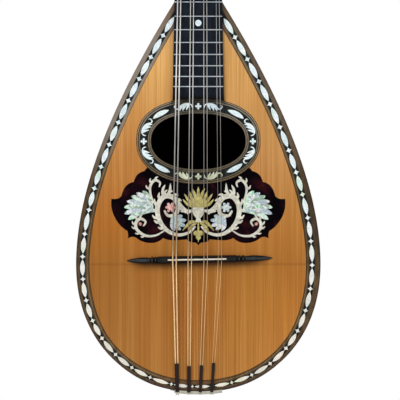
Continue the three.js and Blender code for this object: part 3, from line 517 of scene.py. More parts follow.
class Look:
    """A material in the making: its shader, and the texture nodes that feed it."""

    def __init__(self, name, **values):
        self.material = bpy.data.materials.new(name)
        self.material.use_nodes = True
        self.tree = self.material.node_tree
        self.shader = self.tree.nodes["Principled BSDF"]
        for key, value in values.items():
            self.shader.inputs[SOCKETS[key]].default_value = value
        self.place = self.node("ShaderNodeTexCoord").outputs["Object"]

    def node(self, kind, inputs=(), **settings):
        made = self.tree.nodes.new(kind)
        for key, value in settings.items():
            setattr(made, key, value)
        for key, value in dict(inputs).items():
            if isinstance(value, bpy.types.NodeSocket):
                self.tree.links.new(value, made.inputs[key])
            else:
                made.inputs[key].default_value = value
        return made

    def stretched(self, x, y, z):
        """The place, counted in features to the metre along each axis."""
        inputs = {"Vector": self.place, "Scale": (x, y, z)}
        return self.node("ShaderNodeMapping", inputs).outputs[0]

    def noise(self, x, y, z, detail=2.0, rough=0.5, twist=0.0):
        inputs = {
            "Vector": self.stretched(x, y, z),
            "Scale": 1.0,
            "Detail": detail,
            "Roughness": rough,
            "Distortion": twist,
        }
        return self.node("ShaderNodeTexNoise", inputs).outputs[0]

    def polish(self):
        """The fine marks that polishing leaves in a dark surface."""
        return self.noise(1800, 1800, 300, detail=2)

    def between(self, value, start, end):
        """Runs from 0 to 1 as a value runs between two places, in millimetres."""
        inputs = {"Value": value, "From Min": start * MM, "From Max": end * MM}
        return self.node("ShaderNodeMapRange", inputs).outputs[0]

    def along(self, axis, start, end):
        """Runs from 0 to 1 between two places on one axis."""
        parts = self.node("ShaderNodeSeparateXYZ", {"Vector": self.place})
        return self.between(parts.outputs[axis], start, end)

    def beside(self, slope, start, end):
        """Runs from 0 to 1 between two places on Z, along lines that rise with X by the slope."""
        parts = self.node("ShaderNodeSeparateXYZ", {"Vector": self.place})
        inputs = {0: parts.outputs["X"], 1: -slope, 2: parts.outputs["Z"]}
        level = self.node("ShaderNodeMath", inputs, operation="MULTIPLY_ADD").outputs[0]
        return self.between(level, start, end)

    def ramp(self, factor, *stops):
        """Greys or colours, each at its place from 0 to 1 on the factor."""
        made = self.node("ShaderNodeValToRGB", {"Fac": factor})
        marks = made.color_ramp.elements
        while len(marks) < len(stops):
            marks.new(1)
        for mark, (position, colour) in zip(marks, stops):
            mark.position = position
            mark.color = linear(colour)
        return made.outputs[0]

    def band(self, axis, start, end, *stops):
        """A ramp that runs between two places on one axis."""
        return self.ramp(self.along(axis, start, end), *stops)

    def mix(self, factor, first, second, blend="MIX"):
        inputs = {0: factor}
        for index, value in ((6, first), (7, second)):
            inputs[index] = value if isinstance(value, bpy.types.NodeSocket) else linear(value)
        return self.node("ShaderNodeMix", inputs, data_type="RGBA", blend_type=blend).outputs[2]

    def times(self, first, second, share=1.0):
        return self.mix(share, first, second, "MULTIPLY")

    def done(self, colour, shine, relief):
        """Links the colour, a factor with its least and most roughness, and a height with its depth
        and strength."""
        factor, low, high = shine
        height, depth, strength = relief
        inputs = {"Value": factor, "To Min": low, "To Max": high}
        rough = self.node("ShaderNodeMapRange", inputs).outputs[0]
        inputs = {"Height": height, "Distance": depth * MM, "Strength": strength}
        normal = self.node("ShaderNodeBump", inputs).outputs[0]
        for name, value in (("Base Color", colour), ("Roughness", rough), ("Normal", normal)):
            self.tree.links.new(value, self.shader.inputs[name])
        return self.material


SPRUCE_TONES = (
    # share of the way down the varnish, then the colour on the left and on the right
    (0, (242, 192, 124), (226, 178, 114)),
    (0.16, (232, 177, 104), (212, 159, 92)),
    (0.38, (200, 138, 74), (200, 146, 86)),
    (0.58, (178, 107, 38), (184, 122, 56)),
    (0.68, (160, 102, 40), (174, 112, 46)),
    (0.82, (166, 108, 46), (190, 122, 50)),
    (1, (174, 114, 52), (196, 131, 63)),
)
BRIDGE_SHADE_TONES = (
    # share of the way out from under the bridge, then how much of the light is left there
    (0, 1), (0.05, 0.2), (0.2, 0.2), (0.3, 0.27), (0.44, 0.47), (0.6, 0.7), (0.76, 0.87), (1, 1),
)


def spruce():
    """Varnished softwood with its grain upright, pale by the neck and deep amber by the tail."""
    look = Look("spruce", specular=0.12)
    down = look.along("Z", VARNISH_TOP, VARNISH_FOOT)
    left = look.ramp(down, *((place, tone) for place, tone, _ in SPRUCE_TONES))
    right = look.ramp(down, *((place, tone) for place, _, tone in SPRUCE_TONES))
    base = look.mix(look.along("X", -VARNISH_REACH, VARNISH_REACH), left, right)
    broad = look.noise(22, 0, 3.2, detail=2)
    base = look.mix(look.ramp(broad, (0.38, 0), (0.7, 0.24)), base, (160, 88, 28))
    warm = look.noise(9, 0, 7, detail=2)
    base = look.mix(look.ramp(warm, (0.42, 0), (0.7, 0.3)), base, (178, 128, 52))
    streaks = look.noise(150, 0, 2.2, detail=3)
    pale = look.ramp(streaks, (0.5, 0), (0.74, 0.2))
    base = look.mix(pale, base, (236, 182, 108))
    dark = look.ramp(streaks, (0.28, 0.3), (0.47, 0))
    base = look.mix(dark, base, (140, 84, 30))
    grain = look.noise(800, 0, 5, detail=3, rough=0.6)
    lines = look.ramp(grain, (0.36, 0.4), (0.54, 0))
    base = look.mix(lines, base, (134, 80, 30))
    # Closer, darker grain down the middle, below the pickguard
    reach = GRAIN_BAND_REACH
    middle = look.band("X", -reach, reach, (0.12, 0), (0.3, 1), (0.7, 1), (0.88, 0))
    low = look.band("Z", GRAIN_BAND_TOP, GRAIN_BAND_FOOT, (0, 0), (1, 1))
    band = look.times(middle, low)
    close = look.ramp(look.noise(420, 0, 1.5, detail=2), (0.4, 0.5), (0.52, 0))
    base = look.mix(look.times(band, close), base, (124, 70, 22))
    # Painted shade along the crease where the soundboard is bent back
    above, below = FOLD_Z + CREASE_SHADE_REACH, FOLD_Z - CREASE_SHADE_REACH
    crease = look.band("Z", above, below, (0, 0), (0.45, 0.3), (0.6, 0.3), (1, 0))
    base = look.mix(crease, base, (120, 66, 20))
    # Painted shadow that the bridge throws along its foot, on the side of the tail
    foot = look.beside(math.tan(BRIDGE_SLANT), SADDLE_Z, SADDLE_Z - BRIDGE_SHADE)
    deep = look.ramp(foot, *BRIDGE_SHADE_TONES)
    reach = BRIDGE_SHADE_REACH
    ends = look.band("X", -reach, reach, (0, 0), (0.12, 1), (0.86, 1), (1, 0))
    base = look.times(base, look.mix(ends, 1, deep))
    # Painted shade, almost black, in the seam where the fingerboard ends
    covered = look.band("X", -SEAM_SHADE_REACH, SEAM_SHADE_REACH, (0, 0), (0.02, 1), (0.98, 1), (1, 0))
    over = look.band("Z", BOARD_FOOT - SEAM_SHADE_START, BOARD_FOOT - SEAM_SHADE_END, (0, 0), (1, 1))
    colour = look.mix(look.times(covered, over), base, (10, 7, 5))
    return look.done(colour, (grain, 0.3, 0.42), (grain, GRAIN_RELIEF, 0.4))


def rosewood(name, light, dark):
    look = Look(name, specular=0.2, coat=0.1, coat_roughness=0.2)
    figure = look.noise(160, 160, 22, detail=4, rough=0.6, twist=0.6)
    base = look.ramp(figure, (0.32, dark), (0.62, light))
    pores = look.noise(1500, 1500, 90, detail=2)
    colour = look.mix(look.ramp(pores, (0.3, 0.6), (0.45, 0)), base, dark)
    return look.done(colour, (figure, 0.28, 0.4), (pores, PORE_RELIEF, 0.4))


def plain_wood(name, light, dark, rough=0.5, specular=0.12):
    look = Look(name, specular=specular)
    figure = look.noise(200, 200, 18, detail=3, twist=0.4)
    colour = look.ramp(figure, (0.3, dark), (0.7, light))
    return look.done(colour, (figure, rough - 0.06, rough + 0.08), (figure, PORE_RELIEF, 0.5))


def edge_wood(name, light, dark):
    """Wood of the border: paler on the left shoulder, where a painted sheen lies, and dark by the waist."""
    look = Look(name, specular=0.12)
    figure = look.noise(200, 200, 60, detail=3, twist=0.4)
    base = look.ramp(figure, (0.3, dark), (0.7, light))
    down = look.along("Z", VARNISH_TOP, VARNISH_FOOT)
    to_right = look.along("X", -EDGE_SIDE_REACH, EDGE_SIDE_REACH)
    # Painted sheen: the border is paler on the upper left shoulder, and a little paler on the right
    left = look.ramp(down, (0, 0.72), (0.3, 0.66), (0.46, 0))
    right = look.ramp(down, (0, 0.14), (0.3, 0.1), (0.44, 0))
    painted_sheen = look.mix(to_right, left, right)
    base = look.mix(painted_sheen, base, (150, 140, 128))
    dark_left = look.ramp(down, (0.4, 0), (0.5, 0.1), (0.7, 0.1), (0.8, 0))
    dark_right = look.ramp(down, (0.38, 0), (0.5, 0.5), (0.64, 0.5), (0.74, 0))
    shade = look.mix(to_right, dark_left, dark_right)
    base = look.mix(shade, base, (34, 26, 20))
    # Painted shade: inside the pearl line at the tail the border takes the warm brown of shaded spruce
    inside = look.band("Z", TAIL_Z + TAIL_SHADE_START, TAIL_Z + TAIL_SHADE_END, (0, 0), (1, 0.7))
    left, right = TAIL_SHIFT - TAIL_SHADE_REACH, TAIL_SHIFT + TAIL_SHADE_REACH
    near = look.band("X", left, right, (0, 0), (0.24, 1), (0.76, 1), (1, 0))
    colour = look.mix(look.times(near, inside), base, (104, 72, 42))
    return look.done(colour, (figure, 0.42, 0.56), (figure, GRAIN_RELIEF, 0.4))


def ring_wood(name, top, middle, low):
    """Wood of the rings round the sound hole, which darkens toward the pickguard."""
    look = Look(name, specular=0.12)
    hole_top, foot = HOLE_Z + HOLE_HALF_HEIGHT, HOLE_Z - HOLE_HALF_HEIGHT - ROSETTE_WIDTH
    base = look.band("Z", hole_top, foot, (0, top), (0.4, middle), (0.78, low))
    figure = look.noise(240, 240, 240, detail=3, twist=0.4)
    dark = look.ramp(figure, (0.34, 0.3), (0.6, 0))
    base = look.mix(dark, base, (40, 30, 22))
    # In the shade of the fingerboard's end
    up = look.along("Z", hole_top - ROSETTE_WIDTH, hole_top + ROSETTE_WIDTH)
    shade = look.ramp(up, (0.3, 0), (0.5, 0.55), (0.75, 0.6), (0.9, 0.8))
    reach = BOARD_SHADE_REACH
    near = look.band("X", -reach, reach, (0, 0), (0.3, 1), (0.7, 1), (1, 0))
    colour = look.mix(look.times(near, shade), base, (4, 4, 4))
    return look.done(colour, (figure, 0.44, 0.58), (figure, GRAIN_RELIEF, 0.4))


def bridge_ebony():
    """Ebony, black on its flanks, with a painted slate blue sheen on the faces that look to the front."""
    look = Look("bridge_ebony", specular=0.12)
    facing = look.node("ShaderNodeTexCoord").outputs["Normal"]
    parts = look.node("ShaderNodeSeparateXYZ", {"Vector": facing})
    turned_up = look.node("ShaderNodeMath", {0: parts.outputs["Y"], 1: -1.0}, operation="MULTIPLY")
    # Painted sheen: a slate blue tint on the faces that look to the front, full on the arms and faint on
    # the block
    painted_sheen = look.ramp(turned_up.outputs[0], (0.72, 0), (0.98, 1))
    outward = look.along("X", BRIDGE_SHIFT, BRIDGE_SHIFT + BLOCK_HALF)
    inward = look.along("X", BRIDGE_SHIFT, BRIDGE_SHIFT - BLOCK_HALF)
    arms = look.mix(1.0, outward, inward, "ADD")
    share = look.ramp(arms, (0.99, 0.16), (1, 1))
    clouds = look.noise(160, 160, 160, detail=3)
    base = look.ramp(clouds, (0.35, (8, 9, 11)), (0.7, (20, 22, 24)))
    tint = look.ramp(clouds, (0.35, (32, 38, 41)), (0.7, (56, 62, 63)))
    colour = look.mix(look.times(painted_sheen, share), base, tint)
    return look.done(colour, (clouds, 0.3, 0.42), (look.polish(), POLISH_RELIEF, 0.35))


def dark_stone(name, light, dark, rough, specular, foot=None):
    """A dark filled or polished surface with faint clouding, such as mastic or ebony."""
    look = Look(name, specular=specular)
    clouds = look.noise(180, 180, 60, detail=4)
    base = look.ramp(clouds, (0.35, dark), (0.7, light))
    if foot:
        # Painted shade: past the foot the surface turns almost black, toward the fingerboard's rounded end
        base = look.mix(look.band("Z", foot, foot - BOARD_FOOT_FADE, (0, 0), (1, 0.9)), base, (1, 1, 2))
    return look.done(base, (clouds, rough - 0.05, rough + 0.1), (look.polish(), POLISH_RELIEF, 0.35))


def shell(name, *tints, patch=70, rough=0.16, wash=None):
    """Nacre: tints that drift across it, with fine cloudy lines and a wash toward the tail."""
    look = Look(name, specular=0.5, coat=0.3, coat_roughness=0.1)
    drift = look.noise(patch, patch, patch, detail=3, rough=0.6, twist=1.5)
    step = 0.4 / max(1, len(tints) - 1)
    base = look.ramp(drift, *((0.3 + i * step, tint) for i, tint in enumerate(tints)))
    if wash:
        low = look.band("Z", PEARL_WASH_TOP, PEARL_WASH_FOOT, (0, 0), (1, 0.8))
        base = look.mix(low, base, wash)
        slow = look.noise(26, 26, 26, detail=1)
        cool, plain, green = (236, 242, 245), (255, 255, 255), (236, 246, 230)
        drift = look.ramp(slow, (0.36, cool), (0.46, plain), (0.56, plain), (0.66, green))
        base = look.times(base, drift)
    lines = look.noise(700, 700, 260, detail=3, twist=2)
    veins = look.ramp(lines, (0.4, 0.8), (0.56, 1))
    colour = look.times(base, veins, 0.8)
    return look.done(colour, (lines, rough, rough + 0.12), (lines, SHELL_RELIEF, 0.3))


def tortoiseshell():
    """Almost black, with a few wine red and amber clouds."""
    look = Look("tortoiseshell", specular=0.02)
    clouds = look.noise(26, 26, 26, detail=5, rough=0.6, twist=0.8)
    tones = (0.48, (4, 2, 5)), (0.58, (20, 5, 12)), (0.68, (48, 14, 16)), (0.78, (92, 58, 26))
    colour = look.ramp(clouds, *tones)
    relief = (look.noise(400, 400, 400, detail=2), POLISH_RELIEF, 0.3)
    return look.done(colour, (clouds, 0.14, 0.24), relief)


def bone(name, light, dark):
    look = Look(name, specular=0.4)
    figure = look.noise(260, 260, 60, detail=4)
    colour = look.ramp(figure, (0.3, dark), (0.7, light))
    return look.done(colour, (figure, 0.28, 0.42), (figure, GRAIN_RELIEF, 0.4))


def metal(name, light, dark, rough):
    look = Look(name, metallic=1.0)
    wear = look.noise(220, 220, 220, detail=5, rough=0.65)
    colour = look.ramp(wear, (0.32, dark), (0.66, light))
    fine = look.noise(2600, 2600, 400, detail=2)
    return look.done(colour, (wear, rough, rough + 0.16), (fine, METAL_RELIEF, 0.3))


STRING_TARNISH = (
    # share of the way from the tenth fret to the tail, then the colour there
    (0, (186, 186, 182)),
    (0.2, (232, 230, 226)),
    (0.33, (164, 163, 160)),
    (0.5, (134, 128, 122)),
    (0.62, (170, 146, 116)),
    (0.7, (250, 214, 160)),
    (1, (244, 210, 158)),
)


def string_metal(name, bright, rough, wound):
    """Wire that is dulled by the hand over the sound hole; wound wire has ridges across it."""
    look = Look(name, metallic=0.9)
    stops = [(place, [value * bright for value in colour]) for place, colour in STRING_TARNISH]
    base = look.band("Z", JOINT_Z, TAIL_Z, *stops)
    wear = look.noise(60, 60, 40, detail=3)
    dull = look.ramp(wear, (0.35, 0.8), (0.65, 1))
    base = look.times(base, dull, 0.7)
    # Past the sleeves the ends are bound in pale silk
    silk = look.band("Z", TAIL_Z - SILK_START, TAIL_Z - SILK_END, (0, 0), (1, 1))
    base = look.mix(silk, base, (204, 202, 188))
    relief = (wear, METAL_RELIEF, 0.3)
    if wound:
        inputs = {"Vector": look.stretched(0, 0, 1), "Scale": WINDING_SCALE}
        rings = look.node("ShaderNodeTexWave", inputs, bands_direction="Z").outputs["Fac"]
        grooves = look.ramp(rings, (0, 0.7), (0.5, 1))
        base = look.times(base, grooves, 0.6)
        relief = (rings, WINDING_RELIEF, 0.6)
    return look.done(base, (wear, rough, rough + 0.12), relief)


def leather_cord():
    look = Look("sleeve_leather", specular=0.2)
    weave = look.noise(1400, 1400, 500, detail=3)
    colour = look.ramp(weave, (0.3, (12, 8, 8)), (0.7, (48, 32, 28)))
    return look.done(colour, (weave, 0.6, 0.8), (weave, LEATHER_RELIEF, 0.6))


PEARL_TINTS = (190, 210, 214), (246, 254, 254), (220, 238, 244), (255, 255, 250)
ABALONE_TINTS = (84, 100, 92), (206, 222, 212), (150, 168, 188), (238, 242, 240), (196, 176, 156)
SEA_TINTS = (74, 112, 86), (150, 226, 172), (228, 238, 230), (120, 160, 140), (210, 180, 150)
MATERIALS = {
    "spruce": spruce(),
    "edge": edge_wood("edge_rosewood", (84, 66, 54), (52, 40, 33)),
    "ribs": rosewood("rib_rosewood", (104, 56, 34), (44, 22, 16)),
    "veneer": rosewood("head_rosewood", (78, 44, 32), (30, 18, 15)),
    "line_brown": edge_wood("line_brown", (100, 80, 53), (68, 52, 33)),
    "line_gold": edge_wood("line_gold", (168, 142, 100), (126, 104, 68)),
    "ring_tan": ring_wood("ring_tan", (132, 124, 108), (120, 108, 90), (100, 91, 72)),
    "ring_gold": ring_wood("ring_gold", (150, 136, 114), (160, 132, 92), (122, 104, 76)),
    "line_black": dark_stone("line_black", (30, 26, 24), (12, 11, 11), 0.4, 0.05),
    "mastic": dark_stone("mastic", (44, 47, 45), (20, 22, 21), 0.35, 0.05),
    "ebony": dark_stone("ebony", (22, 30, 42), (8, 12, 20), 0.38, 0.08, BOARD_FOOT),
    "bridge": bridge_ebony(),
    "turned_ebony": dark_stone("turned_ebony", (36, 42, 46), (14, 16, 20), 0.34, 0.12),
    "tortoise": tortoiseshell(),
    "pearl": shell("pearl", *PEARL_TINTS, wash=(250, 238, 218)),
    "green_pearl": shell("green_pearl", (166, 172, 138), (234, 238, 206), patch=110),
    "cream": shell("cream_pearl", (184, 181, 162), (236, 233, 218), patch=110),
    "gold_pearl": shell("gold_pearl", (142, 130, 60), (218, 204, 126), patch=90),
    "abalone": shell("abalone", *ABALONE_TINTS, patch=80),
    "sea_pearl": shell("sea_pearl", *SEA_TINTS, patch=60),
    "rose_pearl": shell("rose_pearl", (190, 92, 76), (246, 206, 198), patch=120),
    "bone": bone("bone", (244, 238, 222), (214, 203, 178)),
    "old_bone": bone("old_bone", (198, 197, 180), (166, 164, 148)),
    "steel": metal("screw_steel", (206, 200, 190), (140, 134, 126), 0.28),
    "plain_string": string_metal("plain_string", 0.95, 0.28, False),
    "wound_string": string_metal("wound_string", 1, 0.3, True),
    "nickel": metal("nickel", (216, 210, 196), (158, 152, 138), 0.22),
    "fret_wire": metal("fret_wire", (222, 230, 232), (176, 184, 188), 0.24),
    "brass": metal("brass", (198, 164, 96), (130, 98, 50), 0.28),
    # Painted shade: the wood inside the bowl, with its blocks and braces, is near black for the shade
    # inside it
    "inner": plain_wood("inner_wood", (8, 5, 4), (3, 2, 2), 0.8, specular=0.02),
    "block": plain_wood("block_wood", (60, 40, 24), (32, 20, 12), 0.7),
    "neck": rosewood("neck_maple", (112, 66, 38), (62, 34, 20)),
    "holly": plain_wood("holly", (222, 204, 168), (196, 172, 130)),
    "leather": leather_cord(),
}

# Meshes

SHARP = math.radians(38)


def spread(start, end, steps):
    return [start + (end - start) * i / steps for i in range(steps + 1)]


def angles(count):
    return [TURN * i / count for i in range(count)]


def signed_power(value, power):
    return math.copysign(abs(value) ** power, value)


def bent(start, pull, end, steps):
    """Points after the start of a curve to the end, drawn to one side by the pull."""
    return [start * (1 - t) ** 2 + pull * 2 * t * (1 - t) + end * t * t for t in spread(0, 1, steps)[1:]]


def mirrored(half, shared=0):
    """One side of an outline, then its mirror image, without the last points that both share."""
    return half + [(-x, y) for x, y in reversed(half[: len(half) - shared])]


def piece(name, islands, material, replaces=(), body=INSTRUMENT, inner=None):
    """One object from closed islands of points and faces. Faces marked inner take that material."""
    points, faces, inside = [], [], []
    for island in islands:
        start = len(points)
        points += island[0]
        faces += [[start + i for i in face] for face in island[1]]
        inside += island[2] if len(island) > 2 else [0] * len(island[1])
    mesh = bpy.data.meshes.new(name)
    mesh.from_pydata([Vector(point) * MM for point in points], [], faces)
    mesh.materials.append(MATERIALS[material])
    if inner:
        mesh.materials.append(MATERIALS[inner])
        mesh.polygons.foreach_set("material_index", inside)
    work = bmesh.new()
    work.from_mesh(mesh)
    bmesh.ops.recalc_face_normals(work, faces=work.faces)
    work.to_mesh(mesh)
    work.free()
    mesh.shade_smooth()
    mesh.set_sharp_from_angle(angle=SHARP)
    made = bpy.data.objects.new(name, mesh)
    bpy.context.scene.collection.objects.link(made)
    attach(made, body)
    if replaces:
        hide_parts(*replaces)
    return made


def rounded(made, width, segments=2):
    """Rounds the sharp edges of a finished piece."""
    bevel = made.modifiers.new("rounded", "BEVEL")
    bevel.width = width * MM
    bevel.segments = segments
    bevel.limit_method = "ANGLE"
    bevel.angle_limit = SHARP
    bevel.use_clamp_overlap = True
    return made


def moved(island, matrix):
    return ([matrix @ Vector(point) for point in island[0]], *island[1:])


def loft(rings, closed=False):
    """A skin over rings of equally many points, capped unless it closes on itself."""
    count = len(rings[0])
    points = [point for ring in rings for point in ring]
    faces = []
    for row in range(len(rings) if closed else len(rings) - 1):
        near = row * count
        far = ((row + 1) % len(rings)) * count
        for j in range(count):
            k = (j + 1) % count
            faces.append((near + j, near + k, far + k, far + j))
    if not closed:
        last = (len(rings) - 1) * count
        faces.append(tuple(range(count)))
        faces.append(tuple(last + j for j in reversed(range(count))))
    return points, faces


def tube(path, radius, sides):
    """A round tube along a line of points; the radius may be one value or one for each point."""
    radii = [radius] * len(path) if isinstance(radius, float) else radius
    rings = []
    across = Vector((1, 0, 0))
    for i, point in enumerate(path):
        before = path[max(i - 1, 0)]
        after = path[min(i + 1, len(path) - 1)]
        along = (Vector(after) - Vector(before)).normalized()
        across = (across - along * across.dot(along)).normalized()
        up = along.cross(across)
        out = [(across * math.cos(a) + up * math.sin(a)) * radii[i] for a in angles(sides)]
        rings.append([Vector(point) + reach for reach in out])
    return loft(rings)


def turned(profile, sides, place=(0, 0, 0), axis="Y"):
    """A form turned on an axis from rows of radius and height along it, closed at both ends."""
    rings = []
    for radius, height in profile:
        ring = []
        for a in angles(sides):
            u, v = radius * math.cos(a), radius * math.sin(a)
            local = {"X": (height, u, v), "Y": (u, height, v), "Z": (u, v, height)}[axis]
            ring.append(Vector(local) + Vector(place))
        rings.append(ring)
    return loft(rings)


def plate(loops, front, back, lean=False):
    """A plate between two depths. The first loop of X and Z is its outline, the rest are holes."""
    work = bmesh.new()
    edges = []
    for loop in loops:
        ring = [work.verts.new((x, 0, z)) for x, z in loop]
        edges += [work.edges.new((ring[i - 1], ring[i])) for i in range(len(ring))]
    bmesh.ops.triangle_fill(work, use_beauty=True, edges=edges)
    if lean:
        bmesh.ops.bisect_plane(
            work,
            geom=[*work.verts, *work.edges, *work.faces],
            plane_co=(0, 0, FOLD_Z),
            plane_no=(0, 0, 1),
        )
    work.verts.index_update()
    count = len(work.verts)
    flat = [(v.co.x, v.co.z) for v in work.verts]
    shift = lean_at if lean else (lambda z: 0)
    points = [Vector((x, depth + shift(z), z)) for depth in (front, back) for x, z in flat]
    faces = [[v.index for v in face.verts] for face in work.faces]
    faces += [[i + count for i in reversed(face)] for face in faces]
    for edge in work.edges:
        if len(edge.link_faces) == 1:
            a, b = (v.index for v in edge.verts)
            faces.append([a, b, b + count, a + count])
    work.free()
    return points, faces


# Body shape


def cubic(a, b, c, d, t):
    u = 1 - t
    return u * u * u * a + 3 * u * u * t * b + 3 * u * t * t * c + t * t * t * d


def bowl_station(station):
    """Half width, height and depth of the bowl: 0 at the neck, 1 at the fold and 2 at the tail."""
    half = BODY_WIDTH / 2
    neck = WIDTH_AT_JOINT / 2
    if station > 1:
        angle = (station - 1) * math.pi / 2
        power = 2 / BOUT_FULLNESS
        inward = max(0, math.cos(angle)) ** power
        return half * inward, FOLD_Z - LOWER_BOUT * math.sin(angle) ** power, BOWL_DEPTH * inward
    t = 1 - station
    flare = neck + SHOULDER_FLARE_SHARE * SHOULDER_PULL
    rise = BOWL_DEPTH - BOUT_PULL * math.tan(CANT)
    heel = HEEL_DEPTH + HEEL_RISE_SHARE * SHOULDER_PULL
    return (
        cubic(half, half, flare, neck, t),
        cubic(FOLD_Z, FOLD_Z + BOUT_PULL, JOINT_Z - SHOULDER_PULL, JOINT_Z, t),
        cubic(BOWL_DEPTH, rise, heel, HEEL_DEPTH, t),
    )


PROBE = 1e-3


def bowl_surface(station, angle):
    width, z, depth = bowl_station(station)
    return Vector((width * math.cos(angle), lean_at(z) + RIM_BACK + depth * math.sin(angle), z))


def bowl_point(station, angle, inward):
    """A point on the bowl, moved inward along the surface's normal."""
    along = bowl_surface(station + PROBE, angle) - bowl_surface(max(0, station - PROBE), angle)
    around = bowl_surface(station, angle + PROBE) - bowl_surface(station, angle - PROBE)
    return bowl_surface(station, angle) + around.cross(along).normalized() * inward


def between_rows(table, value):
    """The row that a value of a table's first column would have, from the rows either side of it."""
    for low, high in zip(table, table[1:]):
        if value <= high[0]:
            break
    share = (value - low[0]) / (high[0] - low[0])
    return [a + (b - a) * share for a, b in zip(low, high)]


def local_inset(station, side, inset):
    """Where a line of the border runs at one station: its places are stretched to fit the table."""
    if inset <= BINDING_EDGE:
        return inset
    _, pearl_right, pearl_left, half, end_right, end_left = between_rows(BORDER_RUN, station)
    pearl, end = (pearl_right, end_right) if side > 0 else (pearl_left, end_left)
    places = (BINDING_EDGE, pearl - half, pearl + half, end)
    marks = (BINDING_EDGE, MASTIC_START, MASTIC_END, BORDER_END)
    for i in range(3):
        if inset <= marks[i + 1]:
            share = (inset - marks[i]) / (marks[i + 1] - marks[i])
            return places[i] + (places[i + 1] - places[i]) * share
    return end + inset - BORDER_END


def edge_point(station, side, inset, depth):
    """A point of the outline seen from the front, moved inward in that plane, at its own lean."""
    inset = local_inset(station, side, inset)
    width, z, _ = bowl_station(station)
    before = bowl_station(max(0, station - PROBE))
    after = bowl_station(min(2, station + PROBE))
    dx = after[0] - before[0]
    dz = after[1] - before[1]
    length = math.hypot(dx, dz)
    x = max(0, width + inset * dz / length)
    low = z - inset * dx / length
    return Vector((side * x, lean_at(low) + depth, low))


def station_at_width(half):
    return 1 + math.acos((half / (BODY_WIDTH / 2)) ** (BOUT_FULLNESS / 2)) / (math.pi / 2)


def both_sides(steps):
    """Stations down the right-hand side and back up the left, each with its side."""
    right = [(2 * i / steps, 1) for i in range(steps)]
    return right + [(2 - 2 * i / steps, -1) for i in range(steps + 1)]


OUTLINE = both_sides(OUTLINE_STEPS)


def outline_loop(inset):
    points = [edge_point(station, side, inset, 0) for station, side in OUTLINE]
    return [(point.x, point.z) for point in points]


def border_strip(profile, stations=OUTLINE):
    """A strip round the edge, from rows of inset and depth."""
    return loft([[edge_point(s, side, *row) for row in profile] for s, side in stations])


def strip_section(start, end):
    return (start, 0), (end, 0), (end, INLAY_DEPTH), (start, INLAY_DEPTH)


def hole_fullness(up):
    """An ellipse has a fullness of two: the sound hole is squarer, and more so in its upper half."""
    return HOLE_FULLNESS_ABOVE if up > 0 else HOLE_FULLNESS_BELOW


def hole_point(angle, offset):
    """A point round the sound hole, at a distance out from its edge."""
    across, up = math.cos(angle), math.sin(angle)
    power = 2 / hole_fullness(up)
    return (
        (HOLE_HALF_WIDTH + offset) * signed_power(across, power),
        HOLE_Z + (HOLE_HALF_HEIGHT + offset) * signed_power(up, power),
    )


def ring_strip(inner, outer):
    rings = []
    for a in angles(ROSETTE_STEPS):
        ring = []
        for offset, depth in strip_section(inner, outer):
            x, z = hole_point(a, offset)
            ring.append(Vector((x, depth, z)))
        rings.append(ring)
    return loft(rings, closed=True)


# Inlays: each is a low dome with its foot under the surface it is let into

INLAY_POINTS = 40
STAR_SHARPNESS_SHARE = 0.7
MEDALLION_SHARES = (0.82, 0.62, 0.4, 0.2)
THIN_SHARE = 0.06
# A petal's section: half widths to one side, and depths
PETAL_SECTION = ((-1, -PROUD), (0, -CROWN), (1, -PROUD), (1, ROOT_DEPTH), (-1, ROOT_DEPTH))


def inlaid(place, u, v, depth):
    """A point of an inlay, at a depth under the face it is let into."""
    x, z = place(u, v)
    return Vector((x, lean_at(z) + depth, z))


def medallion(outline, place):
    """A crowned inlay over a closed outline; place turns its own two lengths into X and Z."""
    rows = [(1, ROOT_DEPTH), (1, -PROUD)]
    for share in MEDALLION_SHARES:
        rows.append((share, -PROUD - (CROWN - PROUD) * math.sqrt(1 - share * share)))
    rings = []
    for share, depth in rows:
        rings.append([inlaid(place, u * share, v * share, depth) for u, v in outline])
    points, faces = loft(rings)
    # A fan up to the crown's middle takes the place of the last flat end
    last = faces.pop()
    points.append(inlaid(place, 0, 0, -CROWN))
    faces += [(last[i - 1], last[i], len(points) - 1) for i in range(len(last))]
    return points, faces


def round_outline(radius_at):
    """An outline drawn round a middle, from the radius at each angle."""
    rows = [(a, radius_at(a)) for a in angles(INLAY_POINTS)]
    return [(radius * math.cos(a), radius * math.sin(a)) for a, radius in rows]


def star_outline(size):
    """A star of four points with hollow sides."""
    share = STAR_SHARPNESS_SHARE

    def radius_at(a):
        return size / 2 / (abs(math.cos(a)) ** share + abs(math.sin(a)) ** share) ** (1 / share)

    return round_outline(radius_at)


def flower_outline(size, petals, waist_share=0.38):
    """A rosette of round petals."""

    def radius_at(a):
        bloom = abs(math.cos(petals * a / 2)) ** 0.7
        return size / 2 * (waist_share + (1 - waist_share) * bloom)

    return round_outline(radius_at)


def oval_outline(length, width):
    """A long oval with pointed ends."""
    turns = angles(INLAY_POINTS)
    return [(math.cos(a) * length / 2, signed_power(math.sin(a), 1.6) * width / 2) for a in turns]


def smooth_line(points, steps=6):
    """A smooth curve through a few points."""
    line = []
    for i in range(len(points) - 1):
        a = Vector(points[max(i - 1, 0)])
        b, c = Vector(points[i]), Vector(points[i + 1])
        d = Vector(points[min(i + 2, len(points) - 1)])
        for step in range(steps):
            t = step / steps
            bend = (2 * a - 5 * b + 4 * c - d) * t * t + (3 * b - a - 3 * c + d) * t * t * t
            line.append((2 * b + (c - a) * t + bend) / 2)
    line.append(Vector(points[-1]))
    return line


# Powers that place a leaf's widest part and fill it out
LEAF_SHIFT = 0.85
LEAF_FULLNESS = 0.8


def leaf_width(share, shift=LEAF_SHIFT):
    """Thin at both ends; with a shift over one, it is widest toward the tip."""
    if not 0 < share < 1:
        return THIN_SHARE
    return max(THIN_SHARE, math.sin(math.pi * share ** shift) ** LEAF_FULLNESS)


